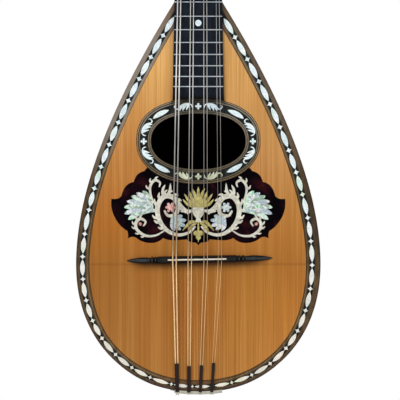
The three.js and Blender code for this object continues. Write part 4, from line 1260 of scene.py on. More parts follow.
def petal(line, width, place=lambda u, v: (u, v), shape=leaf_width):
    """A blade along a curve: flat-footed, with a ridge down its middle."""
    rings = []
    for i, point in enumerate(line):
        before = line[max(i - 1, 0)]
        after = line[min(i + 1, len(line) - 1)]
        along = (after - before).normalized()
        half = width / 2 * shape(i / (len(line) - 1))
        ring = []
        for offset, depth in PETAL_SECTION:
            u = point.x - along.y * half * offset
            v = point.y + along.x * half * offset
            ring.append(inlaid(place, u, v, depth))
        rings.append(ring)
    return loft(rings)


# The border

BORDER_STEPS = 1600
# The binding's rounded corner, in rows of inset and depth
BINDING_CORNER = ((0, 0.7), (0.2, 0.22), (0.7, 0))
# The lines to both sides of the mastic, each from its start to its end in from the edge
BORDER_LINES = {
    "line_brown": [(1.75, MASTIC_START), (MASTIC_END, 15.4), (15.8, 17.7)],
    "line_black": [(17.7, BORDER_END)],
    "line_gold": [(15.4, 15.8)],
}


def pearl_line():
    """Places along the border's pearl line, with the length run to each and the mastic's width."""
    rows = []
    for station, side in both_sides(BORDER_STEPS):
        point = edge_point(station, side, (MASTIC_START + MASTIC_END) / 2, 0)
        here = Vector((point.x, point.z))
        run = rows[-1][0] + (here - rows[-1][1]).length if rows else 0
        rows.append((run, here, 2 * between_rows(BORDER_RUN, station)[3]))
    return rows


BORDER = pearl_line()
BORDER_RUNS = [run for run, _, _ in BORDER]
BORDER_LENGTH = BORDER_RUNS[-1]
# Places to each side over which the border's direction is taken
BORDER_SMOOTHING = 4


def border_at(arc):
    """The place on the pearl line at a length along it, the direction there, and the width."""
    high = min(max(bisect.bisect_left(BORDER_RUNS, arc), 1), len(BORDER) - 1)
    start, a, width = BORDER[high - 1]
    end, b, _ = BORDER[high]
    before = BORDER[max(high - 1 - BORDER_SMOOTHING, 0)][1]
    along = BORDER[min(high + BORDER_SMOOTHING, len(BORDER) - 1)][1] - before
    return a.lerp(b, (arc - start) / (end - start)), along.normalized(), width


def border_place(arc):
    """Turns lengths along and across the border, about one place on it, into X and Z."""

    def place(u, v):
        point, along, _ = border_at(min(max(arc + u, 0), BORDER_LENGTH))
        return point.x + along.y * v, point.y - along.x * v

    return place


def star_arc(index):
    """Where a star stands: they lie closer together toward the tail."""
    run = STAR_SHIFT + STAR_PITCH * (index + STAR_SPREAD_SHARE * index * abs(index))
    return BORDER_LENGTH / 2 + run + between_rows(STAR_STRAY, run)[1]


def border():
    foot = (0, BOARD_THICKNESS)
    edge = [foot, *BINDING_CORNER, (BINDING_EDGE, 0), (BINDING_EDGE, BOARD_THICKNESS)]
    piece("edge_binding_strip", [border_strip(edge)], "edge", ["edge_binding"])
    for look, places in BORDER_LINES.items():
        islands = [border_strip(strip_section(*place)) for place in places]
        piece(f"border_{look}", islands, look)
    mastic = border_strip(strip_section(MASTIC_START, MASTIC_END))
    piece("border_mastic", [mastic], "mastic", ["edge_purfling"])
    pearl = []
    for index in range(-STARS_EACH_SIDE, STARS_EACH_SIDE + 1):
        arc = star_arc(index)
        star = star_outline(STAR_SHARE * border_at(arc)[2])
        pearl.append(medallion(star, border_place(arc)))
    for index in range(-STARS_EACH_SIDE - 1, STARS_EACH_SIDE + 1):
        start, end = star_arc(index), star_arc(index + 1)
        middle = (start + end) / 2
        width = border_at(middle)[2]
        length = end - start - STAR_SHARE * width - 2 * OVAL_CLEARANCE
        pearl.append(medallion(oval_outline(length, OVAL_SHARE * width), border_place(middle)))
    piece("border_pearl", pearl, "pearl")


# Soundboard, rosette and pickguard

GUARD_START_SHARES = (0.53, 0.05)
GUARD_CURVE_SHARES = (
    (0.6, 0.09, 0.621, 0.13),
    (0.72, 0.15, 0.742, 0.257),
    (0.85, 0.27, 0.886, 0.421),
    (0.921, 0.468, 1, 0.454),
    (1.018, 0.608, 0.921, 0.737),
    (0.863, 0.807, 0.817, 0.83),
    (0.8, 0.877, 0.811, 0.918),
    (0.76, 0.883, 0.713, 0.912),
    (0.644, 0.971, 0.544, 0.971),
    (0.46, 0.971, 0.405, 0.914),
    (0.34, 0.944, 0.265, 0.94),
    (0.19, 0.936, 0.135, 0.928),
    (0.092, 0.971, 0.046, 0.965),
    (0.017, 0.971, 0, 1),
)


def guard_place(x_share, z_share):
    return Vector((x_share * GUARD_WIDTH / 2, HOLE_Z - GUARD_BELOW_HOLE - z_share * GUARD_HEIGHT))


def in_rosette(point, offset):
    x = point[0] / (HOLE_HALF_WIDTH + offset)
    z = (point[1] - HOLE_Z) / (HOLE_HALF_HEIGHT + offset)
    return abs(x) ** hole_fullness(z) + abs(z) ** hole_fullness(z) < 1


def guard_edge(offset):
    """The pickguard's free edge, from the rosette on the right round to the rosette on the left."""
    start = guard_place(*GUARD_START_SHARES)
    right = [start]
    for cx, cz, x, z in GUARD_CURVE_SHARES:
        end = guard_place(x, z)
        right += bent(start, guard_place(cx, cz), end, GUARD_STEPS)
        start = end
    grown = []
    for i, point in enumerate(right):
        along = (right[min(i + 1, len(right) - 1)] - right[max(i - 1, 0)]).normalized()
        grown.append(Vector((point.x - along.y * offset, point.y + along.x * offset)))
    outside = [point for point in grown if not in_rosette(point, ROSETTE_WIDTH + SEAT)]
    return mirrored(outside, 1)


def angle_on_rosette(point):
    x = point[0] / (HOLE_HALF_WIDTH + ROSETTE_WIDTH)
    z = (point[1] - HOLE_Z) / (HOLE_HALF_HEIGHT + ROSETTE_WIDTH)
    power = hole_fullness(z) / 2
    return math.atan2(signed_power(z, power), signed_power(x, power))


def guard_loop(offset, turn):
    """The pickguard's free edge, closed along the rosette: over its top, or a turn back, under it."""
    edge = guard_edge(offset)
    right = angle_on_rosette(edge[0])
    start = math.pi - right - turn
    arc = [hole_point(a, ROSETTE_WIDTH + SEAT) for a in spread(start, right, ROSETTE_STEPS)]
    return edge + arc[1:-1]


def soundboard():
    layer = INLAY_DEPTH + SEAT
    hole = [hole_point(a, 0) for a in angles(ROSETTE_STEPS)]
    face = plate([outline_loop(BORDER_END + SEAT), guard_loop(SEAT, 0)], 0, layer, lean=True)
    under = plate([outline_loop(BINDING_EDGE + SEAT), hole], layer, BOARD_THICKNESS, lean=True)
    piece("spruce_soundboard", [face, under], "spruce", ["soundboard"])


ROSETTE_RINGS = {
    "line_black": [(0, 0.5), (2.1, 2.8), (4.4, ROSETTE_MASTIC_START)]
    + [(ROSETTE_MASTIC_END, 15), (16.7, 17.7), (19.1, ROSETTE_WIDTH)],
    "ring_tan": [(0.5, 2.1), (2.8, 4.4), (15, 16.7)],
    "ring_gold": [(17.7, 19.1)],
}
CURVE_STEPS = 60
CROSS_SIZE = 8.6
CROSS_WAIST_SHARE = 0.27
NAVETTE_ANGLE = math.radians(49.4)
NAVETTE_LENGTH = 24
NAVETTE_WIDTH = 6.4
# Each blade of the leaf sprig: its width, then the points it runs through, along the pearl line
# from the cross and outward from that line
SPRIG_BLADES = (
    (1.6, (8.2, -2.6), (8, -0.4), (9, 2), (11.2, 3.5)),
    (3.9, (9.4, 3.1), (14, 3.2), (19, 2.4), (23.5, 1), (27.2, -1.2)),
    (2.8, (10.6, 3.4), (13, 1.2), (15.2, -1.5), (17.2, -4.6)),
    (3.4, (15, 3), (17.8, 0.9), (20.2, -1.5), (22.4, -4.8)),
    (3, (20, 2.3), (22.6, 0.3), (24.8, -1.9), (26.6, -4.6)),
    (1.6, (23, 1), (26.4, -1.4), (29.4, -1.6), (31.2, 0.6), (30.8, 3), (28.8, 3.5)),
)


def rosette_place(angle, direction=1):
    """Turns lengths along and out from the rosette's pearl line, about one angle, into X and Z."""

    def place(u, v):
        a = angle
        step = direction * u / CURVE_STEPS
        for _ in range(CURVE_STEPS):
            here = Vector(hole_point(a, ROSETTE_PEARL))
            ahead = Vector(hole_point(a + PROBE, ROSETTE_PEARL))
            a += step * PROBE / (ahead - here).length
        return hole_point(a, ROSETTE_PEARL + v)

    return place


def rosette():
    for look, places in ROSETTE_RINGS.items():
        piece(f"rosette_{look}", [ring_strip(*row) for row in places], look)
    mastic = [ring_strip(ROSETTE_MASTIC_START, ROSETTE_MASTIC_END)]
    piece("rosette_mastic", mastic, "mastic", ["rosette"])
    white, green = [], []
    for quarter in range(4):
        at = quarter * math.pi / 2
        pearl = green if quarter == 3 else white
        cross = flower_outline(CROSS_SIZE, 4, CROSS_WAIST_SHARE)
        pearl.append(medallion(cross, rosette_place(at)))
        for direction in (1, -1):
            place = rosette_place(at, direction)
            for width, *points in SPRIG_BLADES:
                pearl.append(petal(smooth_line(points), width, place))
    for side in (1, -1):
        for height in (1, -1):
            at = height * (NAVETTE_ANGLE if side > 0 else math.pi - NAVETTE_ANGLE)
            outline = oval_outline(NAVETTE_LENGTH, NAVETTE_WIDTH)
            white.append(medallion(outline, rosette_place(at)))
    piece("rosette_pearl", white, "pearl")
    piece("rosette_green_pearl", green, "green_pearl")


# The pickguard's inlay on the right-hand side: X from the centre line, Z from the rosette's foot
GUARD_TOP = HOLE_Z - HOLE_HALF_HEIGHT - ROSETTE_WIDTH
MAIN_SCROLL = (
    (4, -56), (12, -64), (27, -67.5), (42, -61), (52, -47), (54, -30), (46, -17), (34, -17.5),
    (27, -28), (30, -40), (40, -42), (45, -35),
)
OUTER_SCROLL = (
    (44, -61), (56, -68), (70, -68.5), (81, -61), (83, -52), (77, -46), (70, -50), (73, -56),
)
TENDRIL = ((54, -33), (62, -18), (64, -4), (58, 5), (51, 2), (52, -4))
URN_SIDE = [(-7, -31), (-8.4, -35), (-6.4, -41), (-3, -45), (-2.2, -48), (-4.6, -51)]
URN_MIDDLE = -40
# Each leaf: its width and the points it runs through
PALMETTE_LEAVES = (
    (4.6, (0.6, -31), (3.2, -18), (8.6, -5.5)),
    (4.4, (1.4, -31), (8, -20), (12.4, -9)),
    (4.2, (2.2, -31), (11.6, -23), (18.6, -13)),
    (3.8, (3.2, -31), (14, -27), (20.6, -20)),
)
DROOPING_LEAVES = (
    (4.2, (2, -51), (9, -50), (14, -54), (21, -62)),
    (3.8, (2, -52), (8, -55), (12, -61), (13, -67)),
)
SIDE_LEAF = (7, -35), (16, -36), (24, -29), (30, -17)
# Each scroll: its points, its width and its fringe, which has a start and an end as shares of the
# scroll, then the number, length and width of its leaf tips
SCROLLS = (
    (MAIN_SCROLL, 6.6, (0.3, 0.68, 10, 9.5, 5)),
    (OUTER_SCROLL, 4.2, (0.3, 0.72, 6, 6.5, 3.6)),
    (TENDRIL, 3.6, (0.12, 0.62, 5, 7, 3.8)),
    (SIDE_LEAF, 6.4, (0.25, 0.8, 4, 5.5, 3.6)),
)
MIDDLE_LEAVES = (
    (4.8, (0, -31), (0, -17), (0, -3.5)),
    (2.6, (0, -50), (0, -64), (0, -78)),
)
# Each flower: its size, its petals and the share of its size at its waist
HEART = (37, -31)
HEART_FLOWER = (14, 6, 0.42)
BUD = (77, -53)
BUD_FLOWER = (5, 5)
TREFOIL_Z = -67
TREFOIL_FLOWER = (14, 3, 0.34)
STEM_END_SHARE = 0.34
# Powers that place the widest part of stems and fronds, and fill out stems and leaf tips
STEM_SHIFT = 1.15
FROND_SHIFT = 1.7
STEM_FULLNESS = 0.9
TOOTH_FULLNESS = 0.55
# How far a leaf tip of a fringe reaches at its ends, and how much more towards its middle
FRINGE_END_SHARE = 0.7
FRINGE_MIDDLE_SHARE = 0.6
TIP_CURL_SHARES = ((0.62, 0.12), (0.9, 0.72))
FAN_BOW_SHARE = 0.1
FAN_MIDDLE_SHARE = 0.55
FAN_LEAF_WIDTH = 7
SPRAY_LEAF_WIDTH = 5.4
FAN_ROOT = (59, -37)
FAN_TIPS = ((74, -9), (82, -11.5), (89, -16), (95, -23), (98.5, -31), (98, -39.5), (93, -47))
SPRAY_ROOT = (36, -43)
SPRAY_TIPS = ((21, -42), (16, -48), (17, -55.5), (23, -61), (31, -62))
BUD_LEAVES = (
    (4, (44, -17), (38, -10), (37, 1)),
    (3.4, (48, -15), (47, -7), (44, -1)),
)


def stem_width(share):
    """Thinner at both ends and full past the middle."""
    swell = math.sin(math.pi * share ** STEM_SHIFT) ** STEM_FULLNESS
    return STEM_END_SHARE + (1 - STEM_END_SHARE) * swell


def tooth_width(share):
    return max(THIN_SHARE, (1 - share) ** TOOTH_FULLNESS)


def frond_width(share):
    return leaf_width(share, FROND_SHIFT)


def fringe(line, side, first, last, count, length, width):
    """Curled leaf tips along the outer side of a scroll."""
    blades = []
    for i in range(count):
        t = i / (count - 1)
        at = round((first + (last - first) * t) * (len(line) - 1))
        along = (line[min(at + 1, len(line) - 1)] - line[max(at - 1, 0)]).normalized()
        out = Vector((along.y, -along.x)) * side
        reach = length * (FRINGE_END_SHARE + FRINGE_MIDDLE_SHARE * t * (1 - t))
        points = [line[at]]
        for out_share, along_share in TIP_CURL_SHARES:
            points.append(line[at] + out * reach * out_share + along * reach * along_share)
        blades.append(petal(smooth_line(points), width, shape=tooth_width))
    return blades


def fan_leaves(root, tips, width, side):
    """Leaves that spread from one point, each with a slight bow."""
    leaves = []
    start = Vector((side * root[0], GUARD_TOP + root[1]))
    for x, z in tips:
        tip = Vector((side * x, GUARD_TOP + z))
        reach = tip - start
        bow = Vector((-reach.y, reach.x)) * side * FAN_BOW_SHARE
        line = smooth_line((start, start + reach * FAN_MIDDLE_SHARE + bow, tip))
        leaves.append(petal(line, width, shape=frond_width))
    return leaves


def guard_line(points, side=1):
    return smooth_line([(side * x, GUARD_TOP + z) for x, z in points])


def guard_spot(x, z):
    """Turns lengths about one place on the pickguard into X and Z."""
    return lambda u, v: (x + u, GUARD_TOP + z + v)


def guard_ornament():
    """A palmette over an urn between leafy scrolls, let into the pickguard in several shells."""
    cream, gold, abalone, green, rose = [], [], [], [], []
    for side in (1, -1):
        for points, width, tips in SCROLLS:
            line = guard_line(points, side)
            cream.append(petal(line, width, shape=stem_width))
            cream += fringe(line, side, *tips)
        for width, *points in BUD_LEAVES:
            cream.append(petal(guard_line(points, side), width))
        for width, *points in (*PALMETTE_LEAVES, *DROOPING_LEAVES):
            gold.append(petal(guard_line(points, side), width))
        fan = fan_leaves(FAN_ROOT, FAN_TIPS, FAN_LEAF_WIDTH, side)
        green += fan[::2]
        abalone += fan[1::2]
        abalone += fan_leaves(SPRAY_ROOT, SPRAY_TIPS, SPRAY_LEAF_WIDTH, side)
        heart = medallion(flower_outline(*HEART_FLOWER), guard_spot(side * HEART[0], HEART[1]))
        (abalone if side > 0 else rose).append(heart)
        rose.append(medallion(flower_outline(*BUD_FLOWER), guard_spot(side * BUD[0], BUD[1])))
    for width, *points in MIDDLE_LEAVES:
        gold.append(petal(guard_line(points), width))
    trefoil = flower_outline(*TREFOIL_FLOWER)
    gold.append(medallion(trefoil, lambda u, v: (v, GUARD_TOP + TREFOIL_Z - u)))
    urn = mirrored([(x, z - URN_MIDDLE) for x, z in URN_SIDE])
    cream.append(medallion(urn, guard_spot(0, URN_MIDDLE)))
    looks = {
        "cream": cream,
        "gold_pearl": gold,
        "abalone": abalone,
        "sea_pearl": green,
        "rose_pearl": rose,
    }
    for look, islands in looks.items():
        piece(f"guard_{look}", islands, look)


def pickguard():
    guard = plate([guard_loop(-SEAT, TURN)], 0, INLAY_DEPTH)
    piece("tortoise_guard", [guard], "tortoise", ["pickguard"])
    guard_ornament()


# Bowl

RIB_STATIONS = [s for s in spread(0, 2, RIB_STEPS) if s < station_at_width(TAIL_OPENING)]
RIB_STATIONS.append(station_at_width(TAIL_OPENING))


def rib_point(station, angle, share, inward):
    """A rib is a little flatter than the round bowl between its two edges."""
    step = math.pi / RIBS
    edge_a = bowl_point(station, angle, inward)
    edge_b = bowl_point(station, angle + step, inward)
    round_point = bowl_point(station, angle + step * share, inward)
    return edge_a.lerp(edge_b, share).lerp(round_point, RIB_BULGE_SHARE)


def ribs():
    step = math.pi / RIBS
    shares = spread(RIB_TRIM_SHARE, 1 - RIB_TRIM_SHARE, RIB_ARC_STEPS)
    full = spread(1, 0, RIB_ARC_STEPS)
    for index in range(RIBS):
        rings = []
        for station in RIB_STATIONS:
            outer = [rib_point(station, index * step, share, 0) for share in shares]
            inner = [rib_point(station, index * step, share, RIB_THICKNESS) for share in full]
            rings.append(outer + inner)
        points, faces = loft(rings)
        count = len(rings[0])
        # Faces inside the bowl take the near-black inner wood, which paints the shade inside the bowl
        inside = []
        for face in faces:
            spots = {i % count for i in face} if len(face) == 4 else set()
            inside.append(1 if spots and min(spots) > RIB_ARC_STEPS else 0)
        name, node = f"bowl_stave_{index + 1}", f"bowl_rib_{index + 1}"
        piece(name, [(points, faces, inside)], "ribs", [node], inner="inner")
    lines = []
    for index in range(1, RIBS):
        rings = []
        for station in RIB_STATIONS:
            middle = bowl_point(station, index * step, 0)
            side = bowl_surface(station, index * step + PROBE) - bowl_surface(station, index * step - PROBE)
            side = side.normalized() * FILLET_HALF
            out = bowl_point(station, index * step, -FILLET_PROUD) - middle
            deep = bowl_point(station, index * step, FILLET_DEPTH) - middle
            rings.append([middle + side, middle + out, middle - side, middle + deep])
        lines.append(loft(rings))
    piece("bowl_fillets", lines, "holly")


# Neck, fingerboard and head


def width_at(z):
    return NUT_WIDTH + (WIDTH_AT_JOINT - NUT_WIDTH) * z / JOINT_Z


def half_round(half, depth, z):
    turns = spread(0, math.pi, NECK_SIDES)
    return [Vector((half * math.cos(a), depth * math.sin(a), z)) for a in turns]


CROWN_SHARES = (((1, 0.33), (0.67, 0.33)), ((0.33, 0.33), (0.33, 0.6)), ((0.33, 1), (0, 1)))


def head_outline(bottom):
    """Right side of the head, up from the nut, then mirrored."""
    crown = HEAD_LENGTH - HEAD_CROWN
    root, shoulder, top = NUT_WIDTH / 2, HEAD_SHOULDER_WIDTH / 2, HEAD_TOP_WIDTH / 2
    right = [(root, bottom), (root, HEAD_ROOT)]
    bend = HEAD_SHOULDER_LENGTH / 2
    for t in spread(0, 1, HEAD_CURVE_STEPS)[1:]:
        x = cubic(root, root, shoulder, shoulder, t)
        right.append((x, cubic(HEAD_ROOT, bend, bend, HEAD_SHOULDER_LENGTH, t)))
    start = Vector((top, crown))
    right.append(start)
    for shares in CROWN_SHARES:
        pull, end = (Vector((x * top, crown + z * HEAD_CROWN)) for x, z in shares)
        right += bent(start, pull, end, HEAD_CURVE_STEPS)
        start = end
    return mirrored(right, 1)


POSTS = [
    (side, side * POST_SPREAD / 2, FIRST_POST + row * POST_SPACING)
    for side in (-1, 1)
    for row in range(COURSES)
]


def post_holes():
    radius = POST_RADIUS + 1.5 * GAP
    circle = [(radius * math.cos(a), radius * math.sin(a)) for a in angles(POST_SIDES)]
    return [[(x + u, z + v) for u, v in circle] for _, x, z in POSTS]


def neck():
    heel_top = JOINT_Z + HEEL_LENGTH
    heights = spread(JOINT_Z + GAP, heel_top, HEEL_STEPS) + spread(heel_top, 0, SHAFT_STEPS)[1:]
    rings = []
    for z in heights + [NECK_PAST_NUT]:
        share = min(1, max(0, z / JOINT_Z))
        heel = max(0, 1 - (z - JOINT_Z) / HEEL_LENGTH)
        shaft = NECK_DEPTH_AT_NUT + (NECK_DEPTH_AT_HEEL - NECK_DEPTH_AT_NUT) * share
        depth = shaft + (HEEL_DEPTH + RIM_BACK - shaft) * heel * heel
        rings.append(half_round(width_at(min(0, z)) / 2, depth, z))
    front = VENEER_THICKNESS + GAP
    head = plate([head_outline(-HEAD_ROOT), *post_holes()], front, HEAD_THICKNESS)
    rounded(piece("neck_shaft", [loft(rings)], "neck", ["neck"]), NECK_ROUNDING)
    rounded(piece("head_block", [moved(head, HEAD_FRAME)], "neck"), HEAD_ROUNDING, 3)
    veneer = plate([head_outline(GAP), *post_holes()], 0, VENEER_THICKNESS)
    made = piece("head_facing", [moved(veneer, HEAD_FRAME)], "veneer", ["head_veneer"])
    rounded(made, VENEER_ROUNDING)


def fingerboard():
    end_half = width_at(FRETBOARD_END) / 2
    reach = ROSETTE_WIDTH + GAP
    angle = math.acos(end_half / (HOLE_HALF_WIDTH + reach))
    arc = [hole_point(a, reach) for a in spread(angle, math.pi - angle, FRETBOARD_ARC_STEPS)]
    top, low, z = width_at(0) / 2, width_at(arc[0][1]) / 2, arc[0][1]
    outline = [(top, -GAP), (low, z), *arc[1:-1], (-low, z), (-top, -GAP)]
    board = plate([outline], -FRETBOARD_DEPTH, 0)
    made = piece("ebony_fingerboard", [board], "ebony", ["fingerboard"])
    rounded(made, FRETBOARD_ROUNDING, 3)
    frets()
    position_dots()


def frets():
    half = FRET_WIDTH / 2
    crown = [(half * math.cos(a), -FRET_HEIGHT * math.sin(a)) for a in spread(math.pi, 0, FRET_ROUND_STEPS)]
    profile = [(-half, FRET_TANG), (-half, 0), *crown[1:-1], (half, 0), (half, FRET_TANG)]
    wires = []
    for fret in range(1, FRETS + 1):
        z = -fret_distance(fret) - FRET_SET_BACK
        end = width_at(z) / 2 - GAP
        rings = []
        for x, share in mirrored([(-end, FRET_END_SHARE), (FRET_END - end, 1)]):
            section = [(y * share if y < 0 else y, z + dz) for dz, y in profile]
            rings.append([Vector((x, y - FRETBOARD_DEPTH, height)) for y, height in section])
        wires.append(loft(rings))
    piece("fret_wires", wires, "fret_wire")


# A position dot's profile: shares of its radius, and depths
DOT_PROFILE = ((1, DOT_ROOT), (1, -PROUD), (0.7, -PROUD - 0.05), (0.05, -PROUD - CROWN / 2))


def position_dots():
    profile = [(DOT_RADIUS * share, depth) for share, depth in DOT_PROFILE]
    dots = []
    for space in DOT_SPACES:
        z = -(fret_distance(space) + fret_distance(space - 1)) / 2 - FRET_SET_BACK
        dots.append(turned(profile, DOT_SIDES, (0, -FRETBOARD_DEPTH, z)))
    piece("position_dots", dots, "pearl")


# Strings


def string_plans():
    plans = []
    for index in range(2 * COURSES):
        course = index // 2
        pair = index % 2 - 1 / 2
        step = course - (COURSES - 1) / 2
        saddle_x = SADDLE_SHIFT + step * COURSE_AT_SADDLE + pair * PAIR_AT_SADDLE
        saddle_x += SADDLE_STRAY[course]
        right = index >= COURSES
        plans.append(
            {
                "index": index,
                "radius": STRING_RADII[course],
                "nut_x": NUT_SHIFT + step * COURSE_AT_NUT + pair * PAIR_AT_NUT,
                "saddle_x": saddle_x,
                "saddle_z": SADDLE_Z + saddle_x * math.tan(BRIDGE_SLANT),
                "tail_x": TAIL_SHIFT + step * COURSE_AT_TAIL + pair * PAIR_AT_TAIL,
                "post": POSTS[COURSES + (2 * COURSES - 1 - index) if right else index],
            }
        )
    return plans


PLANS = string_plans()


def tail_bend(x, radius):
    """Points over the bone rest and down the tail at one string."""
    over = TAIL_RIM - REST_ABOVE_BOARD - GAP - radius
    beyond = TAIL_Z - REST_THICKNESS - 2 * GAP - radius
    points = []
    for t in spread(TAIL_BEND_START_SHARE, 1, TAIL_BEND_STEPS):
        a = t * math.pi / 2
        y = over + TAIL_BEND * (1 - math.cos(a))
        points.append(Vector((x, y, beyond + TAIL_BEND * (1 - math.sin(a)))))
    return points


def string_line(plan):
    radius = plan["radius"]
    bend = tail_bend(plan["tail_x"], radius)
    hook = Vector((plan["tail_x"], TAIL_RIM + RIM_BACK + HOOK_DEPTH - HOOK_RADIUS - GAP, bend[-1].z))
    saddle = Vector((plan["saddle_x"], -HEIGHT_AT_SADDLE - radius, plan["saddle_z"]))
    nut = Vector((plan["nut_x"], -HEIGHT_AT_NUT - radius, 0))
    line = [hook, *reversed(bend), saddle, nut, nut + Vector((0, 0, NUT_LENGTH))]
    side, x, z = plan["post"]
    around = POST_RADIUS + GAP + radius
    climb = 2 * radius + WINDING_GAP
    for turns in spread(0, WINDING_TURNS, WINDING_TURNS * WINDING_STEPS):
        a = (math.pi if side > 0 else 0) - side * turns * TURN
        height = turns * climb - WINDING_ABOVE_HEAD
        line.append(HEAD_FRAME @ Vector((x + around * math.cos(a), height, z + around * math.sin(a))))
    return line


def strings():
    for plan in PLANS:
        number = plan["index"] + 1
        wire = tube(string_line(plan), plan["radius"], STRING_SIDES)
        wound = plan["index"] < COURSES
        look, slot = ("wound_string", "string_bronze") if wound else ("plain_string", "string_steel")
        piece(f"string_wire_{number}", [wire], look, [f"string_{number}"])


def sleeves():
    """A flat sleeve round each pair of strings, up to the bone rest on the tail."""
    islands = []
    for course in range(COURSES):
        first, second = PLANS[2 * course], PLANS[2 * course + 1]
        radius = first["radius"]
        wall = radius + SLEEVE_WALL
        tail, saddle = tail_bend(0, radius)[0], Vector((0, -HEIGHT_AT_SADDLE - radius, first["saddle_z"]))
        tail.x = (first["tail_x"] + second["tail_x"]) / 2
        saddle.x = (first["saddle_x"] + second["saddle_x"]) / 2
        ends = [(tail.z - z) / (tail.z - saddle.z) for z in (SLEEVE_TOPS[course], SLEEVE_FEET[course])]
        across = Vector((1, 0, 0))
        up = (tail - saddle).cross(across).normalized()
        rings = []
        for t in spread(*ends, SLEEVE_STEPS):
            middle = tail.lerp(saddle, t)
            half = (PAIR_AT_TAIL + (PAIR_AT_SADDLE - PAIR_AT_TAIL) * t) / 2
            ring = []
            for a in angles(SLEEVE_SIDES):
                reach = math.copysign(half, math.cos(a)) if abs(math.cos(a)) > PROBE else 0
                ring.append(middle + across * (reach + wall * math.cos(a)) + up * wall * math.sin(a))
            rings.append(ring)
        islands.append(loft(rings))
    piece("string_sleeves", islands, "leather")


# Bridge and saddle

BRIDGE_ARM_SHARES = (
    # share of the way out along an arm, then the shares of the bridge's width and height there
    (0, 0.97, 0.97),
    (0.008, 0.92, 0.93),
    (0.016, 0.7, 0.7),
    (0.03, 0.88, 0.86),
    (0.046, 0.88, 0.86),
    (0.064, 0.64, 0.6),
    (0.08, 0.88, 0.84),
    (0.11, 0.9, 0.84),
    (0.13, 0.8, 0.74),
    (0.153, 0.6, 0.54),
    (0.178, 0.82, 0.74),
    (0.195, 0.92, 0.8),
    (0.228, 0.9, 0.77),
    (0.256, 0.54, 0.48),
    (0.28, 0.64, 0.54),
    (0.34, 0.74, 0.59),
    (0.42, 0.79, 0.61),
    (0.5, 0.81, 0.6),
    (0.58, 0.78, 0.56),
    (0.66, 0.71, 0.49),
    (0.76, 0.6, 0.4),
    (0.86, 0.46, 0.3),
    (0.94, 0.28, 0.2),
    (1, 0.08, 0.12),
)

# One side of the bridge's section: shares of its half width at the foot, of that at the top, and of
# its height
BRIDGE_SIDE_SHARES = ((1, 0, 0), (1, 0, 0.3), (0.86, 0, 0.6), (0, 1, 0.93), (0, 0.7, 1))
BRIDGE_FRAME = Matrix.Translation((BRIDGE_SHIFT, 0, SADDLE_Z)) @ Matrix.Rotation(-BRIDGE_SLANT, 4, "Y")
# The saddle's round top, as shares of its half thickness with the drop there, and its round ends, as
# ways in with the drop there
SADDLE_TOP = ((1, 0.9), (0.5, 0.15), (0, 0))
SADDLE_ENDS = ((0, 1.6), (0.5, 0.5), (1.4, 0))


def bridge_section(x, width_share, height_share):
    side = []
    for foot, top, up in BRIDGE_SIDE_SHARES:
        half = (foot * BRIDGE_WIDTH + top * BRIDGE_TOP_WIDTH) * width_share / 2
        side.append((-half, -BRIDGE_HEIGHT * height_share * up))
    return [Vector((x, y, z)) for z, y in mirrored(side)]


def bridge():
    right, left = [], []
    for along, width, height in BRIDGE_ARM_SHARES:
        right.append(bridge_section(BLOCK_HALF + along * BRIDGE_RIGHT_ARM, width, height))
        left.append(bridge_section(-BLOCK_HALF - along * BRIDGE_LEFT_ARM, width, height))
    body = loft(left[::-1] + right)
    made = piece("ebony_bridge", [moved(body, BRIDGE_FRAME)], "bridge", ["bridge"])
    rounded(made, BRIDGE_ROUNDING)


def saddle():
    half, side = SADDLE_LENGTH / 2, SADDLE_THICKNESS / 2
    top, foot = GAP - HEIGHT_AT_SADDLE, SADDLE_SLOT - BRIDGE_HEIGHT
    profile = mirrored([(-side, foot), *((-side * share, top + drop) for share, drop in SADDLE_TOP)], 1)
    rings = []
    for x, drop in mirrored([(inward - half, drop) for inward, drop in SADDLE_ENDS]):
        rings.append([Vector((x, y + (drop if y < -BRIDGE_HEIGHT else 0), z)) for z, y in profile])
    piece("bone_saddle", [moved(loft(rings), BRIDGE_FRAME)], "bone", ["saddle"])


# Tail fittings


def tail_point(x, depth):
    reach = math.hypot(x / (BODY_WIDTH / 2), depth / BOWL_DEPTH)
    z = FOLD_Z - LOWER_BOUT * (1 - reach ** BOUT_FULLNESS) ** (1 / BOUT_FULLNESS)
    return Vector((x, lean_at(z) + RIM_BACK + depth, z))


def tail_patch(xs, depths_at, lower, upper, swell=lambda x: 1):
    """A sheet over the bowl's tail, between two offsets along Z from its skin."""
    rings = []
    for x in xs:
        skin = [tail_point(x, depth) for depth in depths_at(x)]
        outer = upper + (lower - upper) * swell(x)
        near = [point + Vector((0, 0, outer)) for point in skin]
        far = [point + Vector((0, 0, upper)) for point in skin]
        rings.append(near + far[::-1])
    return loft(rings)


# The string rest's front corner: ways in from the outside, and depths below its top
REST_CORNER = ((1.6, 0), (0.6, 0.35), (0, 1.3))


def string_rest():
    half = TAIL_SPAN / 2 - TAIL_SHIFT + REST_MARGIN
    start = station_at_width(half)
    stations = [(s, 1) for s in spread(start, 2, REST_STEPS)[:-1]]
    stations += [(s, -1) for s in spread(2, start, REST_STEPS)]
    outer, inner = -GAP - REST_THICKNESS - REST_LIP, -GAP
    top, foot = -REST_ABOVE_BOARD, REST_DEPTH - REST_ABOVE_BOARD
    corner = [(outer + inward, top + down) for inward, down in REST_CORNER]
    profile = [(inner, top), *corner, (outer, foot), (inner, foot)]
    piece("bone_rest", [border_strip(profile, stations)], "old_bone", ["string_rest"])


